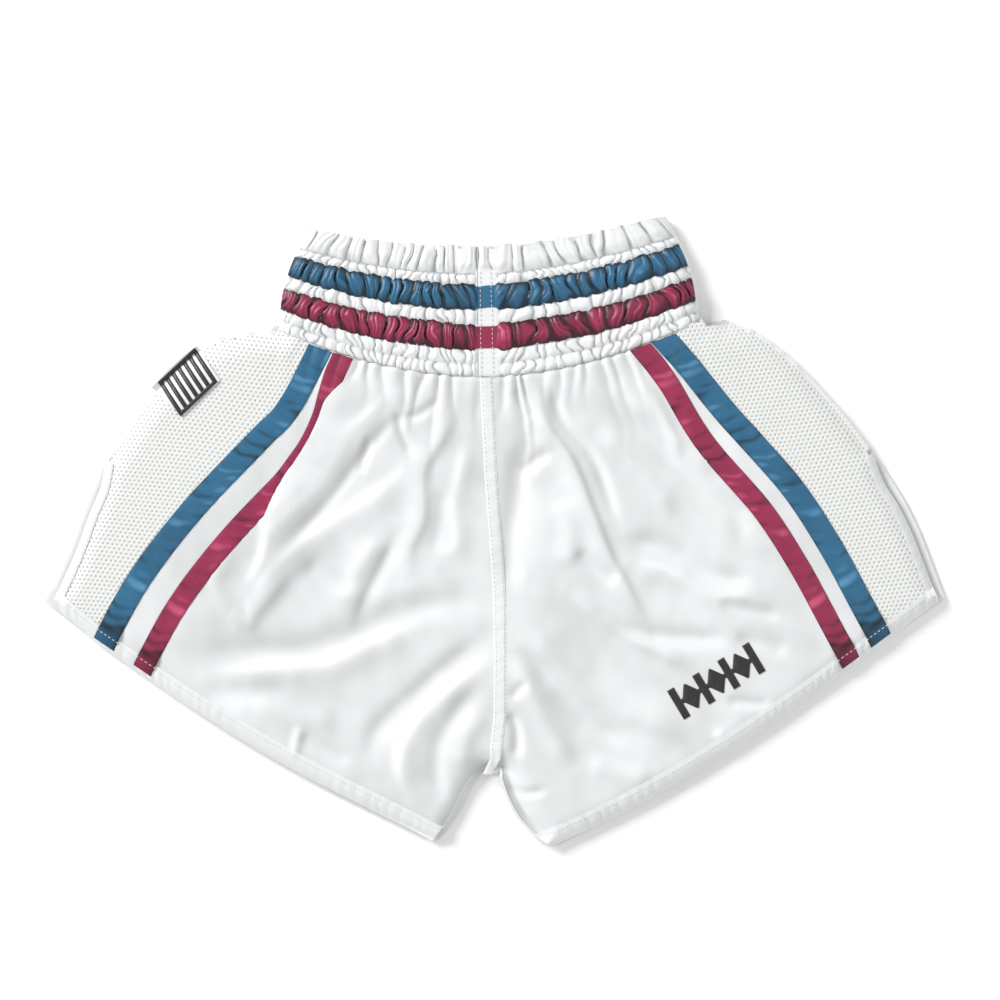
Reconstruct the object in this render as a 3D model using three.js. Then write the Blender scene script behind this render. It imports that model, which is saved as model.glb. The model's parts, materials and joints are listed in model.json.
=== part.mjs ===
// Boxing shorts, lying flat with the front upwards: satin legs, mesh sides and a wide elastic waistband.
// Millimetres. X runs across the shorts, Y from the leg tips up to the waist and Z up from the table.
// The origin is on the table, under the middle of the shorts. The front is the upper layer, the back is
// the lower one, and the wearer goes into the hollow between them.
import * as THREE from "three";

// Overall sizes of the shorts as they lie.
const HALF_SPAN = 294; // from the centre seam out to each hem corner
const RISE = 258; // centre seam, from the waistband down to the crotch
const SEAT_Y = 100.3; // the waistband's lower edge at the centre seam
const BAND_HEIGHT = 86; // waistband at the centre, ruffle included
const WAIST_LEFT = 143; // from the centre seam to the left end of the waistband's lower edge
const WAIST_RIGHT = 134;

// Cloth thicknesses, and the clearance between pieces that are sewn face to face or edge to edge.
const SEW = 0.3;
const CLOTH = 1.0; // satin and mesh
const TAPE = 0.7; // satin tapes, ribbons and badges
const CASING = 1.8; // gathered outer cloth of the waistband
const LINING = 0.8;
const ELASTIC = 1.2;
const FOLDED = 1.8; // a hem or an edge that is turned over twice
const FELLED = 1.4; // the flat centre seams

// Hollows between the front and the back.
const BAND_GAP = 6.4;
const LEG_GAP = 5.6;

// Widths.
const PLACKET = 10; // centre seams
const BLUE_TAPE = 15.5;
const CRIMSON_TAPE = 13.5;
const TAPE_SHORT = 2.4; // the tapes stop this far above the hem's lower edge
const HEM = 9;
const VENT_EDGE = 6;
const VENT_PEEK = 5; // the back shows this far past the front at the vents
const SEAM_WALL = 2; // sewn edge that joins the front to the back
const ELASTIC_HEIGHT = 8;

// Rows of the waistband, as heights above its lower edge at the centre.
const CRIMSON_ROW = 18;
const CRIMSON_RIBBON = 16;
const BLUE_ROW = 44;
const BLUE_RIBBON = 16;
const LINING_TOP = 72;
const ELASTIC_ROWS = [5, 22, 48, 62];

// Shapes of the curves.
const HEM_BOW = 9; // the hem bows this far below a straight line
const FALL = 85; // distance below the waistband over which the front settles
const STEP = 0.012; // share of a leg's length over which an edge changes from one finish to the next
const CROTCH = 0.82; // share of the inner edge's run at which the centre seam ends
const VENT_PEEK_RUN = 0.06; // share of a leg's length over which the front draws in below the vent
const SATIN_COLUMNS = 7; // facets across each strip, shared by the panels and the hems that meet them
const MESH_COLUMNS = 3;

// Badges.
const PATCH_AT = 0.29; // share of the side's length at the badge's middle
const PATCH_LENGTH = 40;
const PATCH_CLEAR = 0.6; // between the badge and the side seam that it goes round
const PATCH_FRONT = 26;
const PATCH_BACK = 26;
const MOTIF_X = 144;
const MOTIF_Y = -97;
const MOTIF_TURN = 31; // degrees
const MOTIF_BAR = { width: 5, height: 21.5 };
const MOTIF_LOZENGE = { width: 14, height: 18 };
const MOTIF_LOZENGES = 3;
const MOTIF_SPINE = 3.2;

// Levels above the table.
const BACK_TAPE = 0;
const BACK_CLOTH = BACK_TAPE + TAPE + SEW;
const BACK_ELASTIC = BACK_CLOTH + CASING + SEW;
const BACK_LINING = BACK_ELASTIC + ELASTIC + SEW;
const FRONT_LINING = BACK_LINING + LINING + BAND_GAP;
const FRONT_ELASTIC = FRONT_LINING + LINING + SEW;
const FRONT_CASING = FRONT_ELASTIC + ELASTIC + SEW;
const FRONT_RIBBON = FRONT_CASING + CASING + SEW;
const FRONT_HEM = BACK_CLOTH + FOLDED + LEG_GAP;
const FRONT_CLOTH_LOW = FRONT_HEM + FOLDED - CLOTH;

// The curves of the legs are drawn for these sizes, and stretched to the sizes above.
const DRAWN_SPAN = 294;
const DRAWN_RISE = 258;

// The two sides. Points are [distance from the centre seam, y], from the waistband down to the hem.
const SIDES = [
  {
    name: "left",
    sign: -1,
    waist: WAIST_LEFT,
    waistDrawn: 143,
    bandStart: PLACKET / 2 + SEW,
    lowLift: 31,
    lowPower: 2.1,
    topIn: 20, // the top end of the waistband stands this far inside its lower end
    topLift: 13,
    topPower: 2.5,
    bulge: 5,
    tapeTop: 113.4,
    between: 15, // white satin between the two tapes
    vent: 0.593,
    inseam: [[14.6, -171], [22, -186], [34.5, -203]],
    tape: [[134, 80.6], [152.4, 61], [197, 14], [231.5, -31], [256, -75.4]],
    side: [[168, 130], [192, 121], [217, 99], [236, 76], [254, 47], [267.5, 17.6], [278.5, -12], [294, -46]],
  },
  {
    name: "right",
    sign: 1,
    waist: WAIST_RIGHT,
    waistDrawn: 134,
    bandStart: -PLACKET / 2,
    lowLift: 36,
    lowPower: 1.7,
    topIn: 23,
    topLift: 20.5,
    topPower: 1.5,
    bulge: 6,
    tapeTop: 109.5,
    between: 9,
    vent: 0.58,
    inseam: [[11, -173], [18, -186.6], [27, -198], [39, -207]],
    tape: [[126.4, 106.6], [148.5, 79.3], [171.3, 54], [195.3, 26], [218.7, -10.4], [238, -46], [252.5, -73]],
    side: [[150, 139], [167, 133], [190, 117], [220, 86], [248, 50], [268.8, 17.6], [278, -2], [294, -44]],
  },
];

const group = new THREE.Group();

const finish = (color, roughness) => () =>
  new THREE.MeshStandardMaterial({ color, roughness, metalness: 0 });
const whiteSatin = finish("#f1f2f2", 0.38);
const whiteMesh = finish("#f4f4f1", 0.8);
const blueSatin = finish("#2f698c", 0.34);
const crimsonSatin = finish("#962850", 0.34);
const wovenElastic = finish("#e8e8e4", 0.75);
const blackThread = finish("#1c1c1e", 0.55);

function add(name, material, geometry) {
  const mesh = new THREE.Mesh(geometry, material());
  mesh.name = name;
  group.add(mesh);
}

// Turns a closed geometry's faces outwards, if bending it has turned it inside out.
function faceOut(geometry) {
  const spot = geometry.attributes.position;
  const index = geometry.index.array;
  const corners = [0, 1, 2].map(() => new THREE.Vector3());
  let volume = 0;
  for (let i = 0; i < index.length; i += 3) {
    corners.forEach((corner, k) => corner.fromBufferAttribute(spot, index[i + k]));
    volume += corners[0].dot(corners[1].clone().cross(corners[2]));
  }
  if (volume > 0) return;
  for (let i = 0; i < index.length; i += 3) {
    const second = index[i + 1];
    index[i + 1] = index[i + 2];
    index[i + 2] = second;
  }
}

// A length of cloth: a segmented box, bent into place by a function that returns the point for each
// column, row and side of the cloth. The side is 0 on the face towards the hollow and 1 on the outside.
function cloth(name, material, columns, rows, place) {
  const geometry = new THREE.BoxGeometry(1, 1, 1, columns, rows, 1);
  const spot = geometry.attributes.position;
  for (let i = 0; i < spot.count; i++) {
    const column = Math.round((spot.getX(i) + 0.5) * columns);
    const row = Math.round((spot.getY(i) + 0.5) * rows);
    const point = place(column, row, Math.round(spot.getZ(i) + 0.5));
    spot.setXYZ(i, point.x, point.y, point.z);
  }
  faceOut(geometry);
  geometry.computeVertexNormals();
  add(name, material, geometry);
}

const raise = (spot, z) => new THREE.Vector3(spot.x, spot.y, z);
const perpendicular = (direction) => new THREE.Vector2(direction.y, -direction.x);
const spaced = (from, to, count) => Array.from({ length: count }, (_, i) => from + ((to - from) * i) / count);

// Height of the waistband's lower edge at a distance from the centre seam.
function seamY(side, x) {
  return SEAT_Y + side.lowLift * Math.min(1, Math.abs(x) / side.waist) ** side.lowPower;
}

// A point of the waistband, from its start at the centre (0) to its end at the side (1).
function bandPoint(side, share, height) {
  const start = side.sign * side.bandStart;
  const low = THREE.MathUtils.lerp(start, side.sign * side.waist, share);
  const top = side.waist - side.topIn;
  const high = THREE.MathUtils.lerp(start, side.sign * top, share);
  const topY = SEAT_Y + BAND_HEIGHT + side.topLift * Math.min(1, Math.abs(high) / top) ** side.topPower;
  const up = height / BAND_HEIGHT;
  const spot = new THREE.Vector2(low, seamY(side, low)).lerp(new THREE.Vector2(high, topY), up);
  spot.x += side.sign * side.bulge * Math.sin(Math.PI * up) * share;
  return spot;
}

// The same, where the piece stops at a depth inside the waistband's side edge.
function bandInside(side, share, height, depth) {
  const width = bandPoint(side, 0, height).distanceTo(bandPoint(side, 1, height));
  return bandPoint(side, (share * (width - depth)) / width, height);
}

// A drawn point at the real sizes: it keeps its share of the way out from the waistband's end to the hem
// corner, or of the way out from the centre to the waistband's end, and its share of the rise.
function stretch(side, x, y) {
  const past = ((x - side.waistDrawn) * (HALF_SPAN - side.waist)) / (DRAWN_SPAN - side.waistDrawn);
  const across = x > side.waistDrawn ? side.waist + past : (x * side.waist) / side.waistDrawn;
  const down = y < SEAT_Y ? SEAT_Y - ((SEAT_Y - y) * RISE) / DRAWN_RISE : y;
  return new THREE.Vector2(side.sign * across, down);
}

// Each side's curves, and the rows that its leg pieces share, from the waistband (0) to the hem (1).
for (const side of SIDES) {
  const seamPoint = (x) => new THREE.Vector2(side.sign * x, seamY(side, x));
  const crotch = new THREE.Vector2(side.sign * (PLACKET / 2 + SEW), SEAT_Y - RISE);
  const spots = (points) => points.map(([x, y]) => stretch(side, x, y));
  side.centreCurve = new THREE.LineCurve(seamPoint(PLACKET / 2 + SEW), crotch);
  side.inseamCurve = new THREE.SplineCurve([crotch, ...spots(side.inseam)]);
  side.tapeCurve = new THREE.SplineCurve([seamPoint(side.tapeTop), ...spots(side.tape)]);
  side.sideCurve = new THREE.SplineCurve([seamPoint(side.waist), ...spots(side.side)]);
  side.hemStart = 1 - HEM / side.tapeCurve.getLength();
  side.wallRows = [...spaced(0, side.vent - STEP, 8), side.vent - STEP];
  side.ventRows = [...spaced(side.vent, CROTCH - STEP, 3), CROTCH - STEP];
  side.inseamRows = [...spaced(CROTCH, side.hemStart, 3), side.hemStart];
  side.rows = [...side.wallRows, ...side.ventRows, ...side.inseamRows];
}

// The leg's inner edge: the centre seam and then the inseam, moved square to itself into the leg.
function innerEdge(side, t, depth) {
  if (t < CROTCH) return side.centreCurve.getPoint(t / CROTCH);
  const along = (t - CROTCH) / (1 - CROTCH);
  const inward = perpendicular(side.inseamCurve.getTangentAt(along)).multiplyScalar(-side.sign);
  return side.inseamCurve.getPointAt(along).addScaledVector(inward, depth);
}

// The line down the middle of the blue tape, moved square to itself towards the centre seam.
function tapeLine(side, t, depth) {
  const inward = perpendicular(side.tapeCurve.getTangentAt(t)).multiplyScalar(side.sign);
  return side.tapeCurve.getPointAt(t).addScaledVector(inward, depth);
}

// The leg's outer edge, moved square to itself into the leg. Below the vent the front stays inside the back.
function outerEdge(side, t, front, depth) {
  const inward = perpendicular(side.sideCurve.getTangentAt(t)).multiplyScalar(side.sign);
  const ramp = THREE.MathUtils.smoothstep(t, side.vent - STEP, side.vent + VENT_PEEK_RUN);
  const peek = front ? VENT_PEEK * ramp : 0;
  return side.sideCurve.getPointAt(t).addScaledVector(inward, depth + peek);
}

// A point of one strip of the leg: strip 0 runs from the inner edge to the blue tape's middle and strip 1
// from there to the side. It keeps a clearance at each of its edges, and its top follows the waistband.
function stripPoint(side, strip, share, t, front, innerGap, outerGap) {
  const inner = strip === 0 ? innerEdge(side, t, innerGap) : tapeLine(side, t, -innerGap);
  const outer = strip === 0 ? tapeLine(side, t, outerGap) : outerEdge(side, t, front, outerGap);
  const tops = [PLACKET / 2 + SEW, side.tapeTop, side.waist];
  const spot = inner.lerp(outer, share);
  const topX = THREE.MathUtils.lerp(tops[strip], tops[strip + 1], share);
  const straightY = THREE.MathUtils.lerp(seamY(side, tops[strip]), seamY(side, tops[strip + 1]), share);
  spot.y += (seamY(side, topX) - straightY) * (1 - t) ** 3;
  if (strip === 0) spot.y -= HEM_BOW * Math.sin(Math.PI * share) * t ** 3;
  return spot;
}

// A point along the hem's upper edge, or a clearance above it for a piece that meets the hem.
function hemEdge(side, strip, share, front, innerGap, outerGap, clearance) {
  const edge = (along) => stripPoint(side, strip, along, side.hemStart, front, 0, 0);
  const width = edge(0).distanceTo(edge(1));
  const along = THREE.MathUtils.lerp(innerGap, width - outerGap, share) / width;
  const up = stripPoint(side, strip, along, side.hemStart - STEP, front, 0, 0).sub(edge(along));
  return edge(along).addScaledVector(up, clearance / up.length());
}

// The level of the front cloth's underside: level with the waistband at the top, and lower at the hem.
// Past the waistband's ends the fall is counted from the tangent to its lower edge.
function frontLevel(spot) {
  const side = SIDES[spot.x < 0 ? 0 : 1];
  const past = Math.max(0, Math.abs(spot.x) / side.waist - 1);
  const top = seamY(side, spot.x) + side.lowLift * side.lowPower * past;
  const below = Math.max(0, top - spot.y);
  return FRONT_CLOTH_LOW + (FRONT_CASING - FRONT_CLOTH_LOW) * Math.exp(-below / FALL);
}

// Levels of a piece on either layer. Each returns the height of one face of the cloth, 0 inside or 1 outside.
const LAYERS = [
  {
    name: "front",
    front: true,
    casing: (out) => FRONT_CASING + CASING * out,
    ribbon: (out) => FRONT_RIBBON + TAPE * out,
    cloth: (spot, out, thick) => frontLevel(spot) + CLOTH - thick * (1 - out),
    tape: (spot, out) => frontLevel(spot) + CLOTH + SEW + TAPE * out,
  },
  {
    name: "back",
    front: false,
    casing: (out) => BACK_CLOTH + CASING * (1 - out),
    ribbon: (out) => BACK_TAPE + TAPE * (1 - out),
    cloth: (spot, out, thick) => BACK_CLOTH + thick * (1 - out),
    tape: (spot, out) => BACK_TAPE + TAPE * (1 - out),
  },
];

// Satin from the centre seam to the tapes (strip 0), and mesh from the tapes to the side (strip 1).
function legPanel(layer, side, strip, name, material, columns) {
  const rows = side.rows.length - 1;
  cloth(`${layer.name}_${name}_${side.name}`, material, columns, rows, (column, row, out) => {
    const t = side.rows[row];
    const inner = strip === 1 ? SEW / 2 : SEAM_WALL + 2 * SEW;
    const outer = strip === 0 ? SEW / 2 : (t < side.vent ? SEAM_WALL : VENT_EDGE) + SEW;
    const share = column / columns;
    const spot =
      row === rows
        ? hemEdge(side, strip, share, layer.front, inner, outer, SEW)
        : stripPoint(side, strip, share, t, layer.front, inner, outer);
    return raise(spot, layer.cloth(spot, out, CLOTH));
  });
}

// A tape down the leg, between two distances inwards from the blue tape's middle. Its top end follows the
// waistband and its lower end follows the hem.
function legTape(layer, side, name, material, from, to) {
  const rows = 18;
  const length = side.tapeCurve.getLength();
  cloth(`${layer.name}_${name}_${side.name}`, material, 1, rows, (column, row, out) => {
    const t = (row / rows) * (1 - TAPE_SHORT / length);
    const middle = tapeLine(side, t, 0);
    const square = tapeLine(side, t, 1).sub(middle);
    const level = stripPoint(side, 0, 0.8, t, layer.front, 0, 0).sub(middle).normalize();
    const across = square.clone().lerp(level, 1 - THREE.MathUtils.smoothstep(Math.min(t, 1 - t), 0, 0.1));
    const edge = column === 0 ? from : to;
    const offset = edge.offset + edge.spread * THREE.MathUtils.smoothstep(t, 0, 0.35);
    const spot = middle.addScaledVector(across, offset / across.dot(square));
    if (row === 0) spot.y = seamY(side, spot.x);
    return raise(spot, layer.tape(spot, out));
  });
}

// A ribbon across the waistband.
function bandRibbon(layer, side, name, material, low, height) {
  const columns = 12;
  cloth(`${layer.name}_${name}_${side.name}`, material, columns, 1, (column, row, out) => {
    const spot = bandPoint(side, column / columns, low + height * row);
    return raise(spot, layer.ribbon(out));
  });
}

// A band that runs from the front's centre, round the side, to the back's centre.
function roundBand(name, material, side, low, high, rows, depth, front, back, thick) {
  const turn = 11;
  const columns = 2 * turn + 1;
  cloth(`${name}_${side.name}`, material, columns, rows, (column, row, out) => {
    const onFront = column <= turn;
    const share = (onFront ? column : columns - column) / turn;
    const inset = depth + (share === 1 ? thick * (1 - out) : 0);
    const spot = bandInside(side, share, THREE.MathUtils.lerp(low, high, row / rows), inset);
    return raise(spot, onFront ? front + thick * out : back + thick * (1 - out));
  });
}

// A sewn edge that closes the space between the front and the back, along a curve.
function seamWall(name, side, rows, spotAt, top) {
  cloth(`${name}_${side.name}`, whiteSatin, 1, rows, (column, row, out) => {
    const spot = spotAt(row, SEAM_WALL * (1 - out));
    return raise(spot, column === 0 ? BACK_CLOTH : top(spot));
  });
}

const frontTop = (spot) => frontLevel(spot) + CLOTH;

for (const side of SIDES) {
  for (const layer of LAYERS) {
    legPanel(layer, side, 0, "satin_panel", whiteSatin, SATIN_COLUMNS);
    legPanel(layer, side, 1, "mesh_panel", whiteMesh, MESH_COLUMNS);

    const blue = BLUE_TAPE / 2;
    const crimson = blue + 2 * SEW;
    legTape(layer, side, "blue_tape", blueSatin, { offset: -blue, spread: 0 }, { offset: blue, spread: 0 });
    legTape(
      layer,
      side,
      "crimson_tape",
      crimsonSatin,
      { offset: crimson, spread: side.between },
      { offset: crimson + CRIMSON_TAPE, spread: side.between },
    );

    const hemColumns = SATIN_COLUMNS + MESH_COLUMNS;
    cloth(`${layer.name}_hem_${side.name}`, whiteSatin, hemColumns, 1, (column, row, out) => {
      const strip = column < SATIN_COLUMNS ? 0 : 1;
      const share = strip === 0 ? column / SATIN_COLUMNS : (column - SATIN_COLUMNS) / MESH_COLUMNS;
      const inner = strip === 0 ? SEAM_WALL + 2 * SEW : 0;
      const spot =
        row === 0
          ? hemEdge(side, strip, share, layer.front, inner, 0, 0)
          : stripPoint(side, strip, share, 1, layer.front, inner * (1 - share), 0);
      return raise(spot, layer.cloth(spot, out, FOLDED));
    });

    const ventRows = [...side.ventRows, ...side.inseamRows];
    const ventSteps = ventRows.length - 1;
    cloth(`${layer.name}_vent_edge_${side.name}`, whiteSatin, 1, ventSteps, (column, row, out) => {
      const depth = column === 0 ? 0 : VENT_EDGE;
      const spot =
        row === ventSteps
          ? hemEdge(side, 1, 1, layer.front, 0, depth, SEW)
          : outerEdge(side, ventRows[row], layer.front, depth);
      return raise(spot, layer.cloth(spot, out, FOLDED));
    });

    const bandColumns = 12;
    const bandRows = 5;
    cloth(`${layer.name}_waistband_${side.name}`, whiteSatin, bandColumns, bandRows, (column, row, out) => {
      const height = THREE.MathUtils.lerp(SEW, BAND_HEIGHT, row / bandRows);
      const spot = bandInside(side, column / bandColumns, height, SEAM_WALL + SEW);
      return raise(spot, layer.casing(out));
    });
    bandRibbon(layer, side, "crimson_ribbon", crimsonSatin, CRIMSON_ROW, CRIMSON_RIBBON);
    bandRibbon(layer, side, "blue_ribbon", blueSatin, BLUE_ROW, BLUE_RIBBON);
  }

  const elasticDepth = SEAM_WALL + SEW;
  ELASTIC_ROWS.forEach((low, i) => {
    const high = low + ELASTIC_HEIGHT;
    const name = `waist_elastic_${i + 1}`;
    roundBand(name, wovenElastic, side, low, high, 1, elasticDepth, FRONT_ELASTIC, BACK_ELASTIC, ELASTIC);
  });
  const liningDepth = elasticDepth + ELASTIC + SEW;
  const lining = [FRONT_LINING, BACK_LINING, LINING];
  roundBand("waist_lining", whiteSatin, side, SEW, LINING_TOP, 3, liningDepth, ...lining);

  const bandWallRows = 5;
  const bandWallSpot = (row, depth) =>
    bandInside(side, 1, THREE.MathUtils.lerp(SEW, BAND_HEIGHT, row / bandWallRows), depth);
  seamWall("waistband_side_seam", side, bandWallRows, bandWallSpot, () => FRONT_CASING + CASING);

  const wallSpot = (row, depth) => outerEdge(side, Math.max(side.wallRows[row], STEP / 3), false, depth);
  seamWall("side_seam", side, side.wallRows.length - 1, wallSpot, frontTop);

  const inseamRows = [...side.inseamRows, 1];
  const inseamSpot = (row, depth) => innerEdge(side, inseamRows[row], depth);
  seamWall("inseam", side, inseamRows.length - 1, inseamSpot, frontTop);
}

// The centre seams, front and back.
const seamRows = 12;
for (const layer of LAYERS) {
  const name = layer.front ? "centre_front_placket" : "centre_back_seam";
  cloth(name, whiteSatin, 1, seamRows, (column, row, out) => {
    const spot = new THREE.Vector2(PLACKET * (column - 0.5), SEAT_Y - (RISE * row) / seamRows);
    return raise(spot, layer.cloth(spot, out, FELLED));
  });
}

// The barred badge, wrapped round the left side seam.
const left = SIDES[0];
const patchColumns = { front: 2, round: 1, back: 2 };
const patchRows = 4;
const patchWidth = patchColumns.front + patchColumns.round + patchColumns.back;
cloth("barred_badge", blackThread, patchWidth, patchRows, (column, row, out) => {
  const t = PATCH_AT + (row / patchRows - 0.5) * (PATCH_LENGTH / left.sideCurve.getLength());
  const onFront = column <= patchColumns.front;
  const pastRound = column - patchColumns.front - patchColumns.round;
  const inward = onFront ? 1 - column / patchColumns.front : pastRound / patchColumns.back;
  const reach = onFront ? PATCH_FRONT : PATCH_BACK;
  const spot = outerEdge(left, t, false, inward === 0 ? -PATCH_CLEAR - TAPE * out : reach * inward);
  return raise(spot, onFront ? LAYERS[0].tape(spot, out) : LAYERS[1].tape(spot, out));
});

// The leg motif: upright bars and lozenges in a row, joined by a thin spine.
function motifOutline() {
  const pitch = MOTIF_BAR.width + MOTIF_LOZENGE.width;
  const half = (MOTIF_LOZENGES * pitch + MOTIF_BAR.width) / 2;
  const edge = [];
  const spine = MOTIF_SPINE / 2;
  for (let i = 0; i <= MOTIF_LOZENGES; i++) {
    const x = i * pitch - half;
    edge.push([x, MOTIF_BAR.height / 2], [x + MOTIF_BAR.width, MOTIF_BAR.height / 2]);
    edge.push([x + MOTIF_BAR.width, spine]);
    if (i < MOTIF_LOZENGES) {
      const start = x + MOTIF_BAR.width;
      const slope = (MOTIF_LOZENGE.width * MOTIF_SPINE) / MOTIF_LOZENGE.height / 2;
      edge.push([start + 1 + slope, spine], [start + MOTIF_LOZENGE.width / 2, MOTIF_LOZENGE.height / 2]);
      edge.push([start + MOTIF_LOZENGE.width - 1 - slope, spine], [start + MOTIF_LOZENGE.width, spine]);
    }
  }
  const mirrored = edge.map(([x, y]) => [x, -y]).reverse();
  return [...edge, ...mirrored].map(([x, y]) => new THREE.Vector2(x, y));
}

const motifShape = new THREE.Shape(motifOutline());
const motif = new THREE.ExtrudeGeometry(motifShape, { depth: TAPE, bevelEnabled: false });
motif.rotateZ(THREE.MathUtils.degToRad(MOTIF_TURN));
motif.translate(MOTIF_X, MOTIF_Y, 0);
const motifSpot = motif.attributes.position;
for (let i = 0; i < motifSpot.count; i++) {
  const spot = new THREE.Vector2(motifSpot.getX(i), motifSpot.getY(i));
  motifSpot.setZ(i, motifSpot.getZ(i) + frontLevel(spot) + CLOTH + SEW);
}
add("leg_motif", blackThread, motif);

// The origin goes under the middle.
const box = new THREE.Box3().setFromObject(group);
const middle = box.getCenter(new THREE.Vector3());
group.position.set(-middle.x, -middle.y, -box.min.z);

export default group;
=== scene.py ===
import json
import math

import bmesh
import bpy
import numpy as np
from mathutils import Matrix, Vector


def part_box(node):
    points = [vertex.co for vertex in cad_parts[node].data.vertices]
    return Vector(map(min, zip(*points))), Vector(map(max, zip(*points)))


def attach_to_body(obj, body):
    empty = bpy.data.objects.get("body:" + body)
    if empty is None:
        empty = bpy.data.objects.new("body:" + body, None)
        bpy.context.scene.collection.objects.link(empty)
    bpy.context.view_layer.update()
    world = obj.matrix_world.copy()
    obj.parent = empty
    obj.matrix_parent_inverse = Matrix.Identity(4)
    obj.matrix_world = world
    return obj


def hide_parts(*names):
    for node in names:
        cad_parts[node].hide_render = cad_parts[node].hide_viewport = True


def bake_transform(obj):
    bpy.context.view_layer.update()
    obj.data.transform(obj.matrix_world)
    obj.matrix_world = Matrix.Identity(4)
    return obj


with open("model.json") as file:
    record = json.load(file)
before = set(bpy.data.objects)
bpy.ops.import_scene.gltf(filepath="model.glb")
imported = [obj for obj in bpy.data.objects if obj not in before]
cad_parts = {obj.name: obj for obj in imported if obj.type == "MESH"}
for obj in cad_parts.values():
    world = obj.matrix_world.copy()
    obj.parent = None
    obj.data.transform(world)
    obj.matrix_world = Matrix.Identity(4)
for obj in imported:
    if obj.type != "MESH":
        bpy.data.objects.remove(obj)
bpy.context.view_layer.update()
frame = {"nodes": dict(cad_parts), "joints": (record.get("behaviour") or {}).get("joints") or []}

bl_info = {
    "name": "Boxing shorts",
    "version": (1, 0, 0),
    "blender": (4, 5, 0),
    "location": "View3D > Sidebar > Shorts",
    "description": "Builds satin boxing shorts with a shirred waistband around a packed frame",
    "category": "Add Mesh",
}

MM = 0.001
RIGHT_BODY = "right_half"
LEFT_BODY = "left_half"
SIDES = ("left", "right")
SIGN = {"left": -1, "right": 1}
FOLD = Vector(frame["joints"][0]["pos_m"])


def linear(code):
    """An sRGB hex colour as linear red, green and blue."""
    parts = [int(code[i:i + 2], 16) / 255 for i in (1, 3, 5)]
    return tuple(c / 12.92 if c <= 0.04045 else ((c + 0.055) / 1.055) ** 2.4 for c in parts)


# ---------------------------------------------------------------- lines and patches read from the frame


def outline(node, up=True):
    """The edge of a frame piece's upper or lower face, as points in order."""
    mesh = bmesh.new()
    mesh.from_mesh(frame["nodes"][node].data)
    bmesh.ops.remove_doubles(mesh, verts=mesh.verts, dist=1e-5)
    way = 1 if up else -1
    faces = {f for f in mesh.faces if f.normal.z * way > 0.3}
    after = {}
    for face in faces:
        for loop in face.loops:
            if sum(1 for f in loop.edge.link_faces if f in faces) == 1:
                after[loop.vert] = loop.link_loop_next.vert
    start = next(iter(after))
    points, here = [], start
    while True:
        points.append(tuple(here.co))
        here = after[here]
        if here is start:
            break
    mesh.free()
    return np.array(points)


def corner_points(loop, inner_by="x", hints=None):
    """Indices of the four corners: top inner, top outer, bottom outer, bottom inner."""
    if hints is not None:
        return [int(np.argmin(np.hypot(*(loop[:, :2] - np.array(h)[:2]).T))) for h in hints]
    before = loop - np.roll(loop, 1, 0)
    after = np.roll(loop, -1, 0) - loop
    turn = np.abs(np.arctan2(
        before[:, 0] * after[:, 1] - before[:, 1] * after[:, 0],
        (before[:, :2] * after[:, :2]).sum(1),
    ))
    sharp = np.argsort(turn)[-4:]
    across = np.abs(loop[:, 0])
    if inner_by == "x":
        inner = sorted(sharp, key=lambda i: across[i])[:2]
        outer = [i for i in sharp if i not in inner]
        inner.sort(key=lambda i: -loop[i, 1])
        outer.sort(key=lambda i: -loop[i, 1])
        return [inner[0], outer[0], outer[1], inner[1]]
    top = sorted(sharp, key=lambda i: -loop[i, 1])[:2]
    low = [i for i in sharp if i not in top]
    top.sort(key=lambda i: across[i])
    low.sort(key=lambda i: across[i])
    return [top[0], top[1], low[1], low[0]]


def stretch_between(loop, a, b, others):
    """The points of a closed loop from a to b, the way round that meets none of the other corners."""
    for step in (1, -1):
        path, i = [a], a
        while i != b:
            i = (i + step) % len(loop)
            path.append(i)
        if not any(o in path[1:-1] for o in others):
            return loop[path]
    return loop[path]


def four_sides(node, up=True, inner_by="x", hints=None):
    """The four sides of a piece: inner and outer from the top down, top and bottom from inside out."""
    loop = outline(node, up)
    a, b, c, d = corner_points(loop, inner_by, hints)
    return {
        "inner": stretch_between(loop, a, d, (b, c)),
        "outer": stretch_between(loop, b, c, (a, d)),
        "top": stretch_between(loop, a, b, (c, d)),
        "bottom": stretch_between(loop, d, c, (a, b)),
    }


def lengths(line):
    return np.concatenate([[0], np.cumsum(np.linalg.norm(np.diff(line, axis=0), axis=1))])


def smooth_line(line, count):
    """A line through the same points, rounded between them and evenly spaced."""
    padded = np.vstack([2 * line[0] - line[1], line, 2 * line[-1] - line[-2]])
    fine = []
    shares = np.linspace(0, 1, 9)[:-1, None]
    for i in range(1, len(padded) - 2):
        p0, p1, p2, p3 = padded[i - 1:i + 3]
        fine.append(0.5 * (2 * p1 + (p2 - p0) * shares + (2 * p0 - 5 * p1 + 4 * p2 - p3) * shares ** 2
                           + (3 * p1 - p0 - 3 * p2 + p3) * shares ** 3))
    fine = np.vstack(fine + [line[-1:]])
    along = lengths(fine)
    wanted = np.linspace(0, along[-1], count)
    return np.stack([np.interp(wanted, along, fine[:, k]) for k in range(fine.shape[1])], axis=1)


def patch(sides, columns, rows):
    """A Coons patch between four sides, as a grid of points: rows from the top down, columns outwards."""
    inner = smooth_line(sides["inner"], rows + 1)[:, None]
    outer = smooth_line(sides["outer"], rows + 1)[:, None]
    top = smooth_line(sides["top"], columns + 1)[None]
    bottom = smooth_line(sides["bottom"], columns + 1)[None]
    u = np.linspace(0, 1, columns + 1)[None, :, None]
    v = np.linspace(0, 1, rows + 1)[:, None, None]
    corners = ((1 - u) * (1 - v) * inner[:1] + u * (1 - v) * outer[:1]
               + (1 - u) * v * inner[-1:] + u * v * outer[-1:])
    return (1 - u) * inner + u * outer + (1 - v) * top + v * bottom - corners


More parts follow.
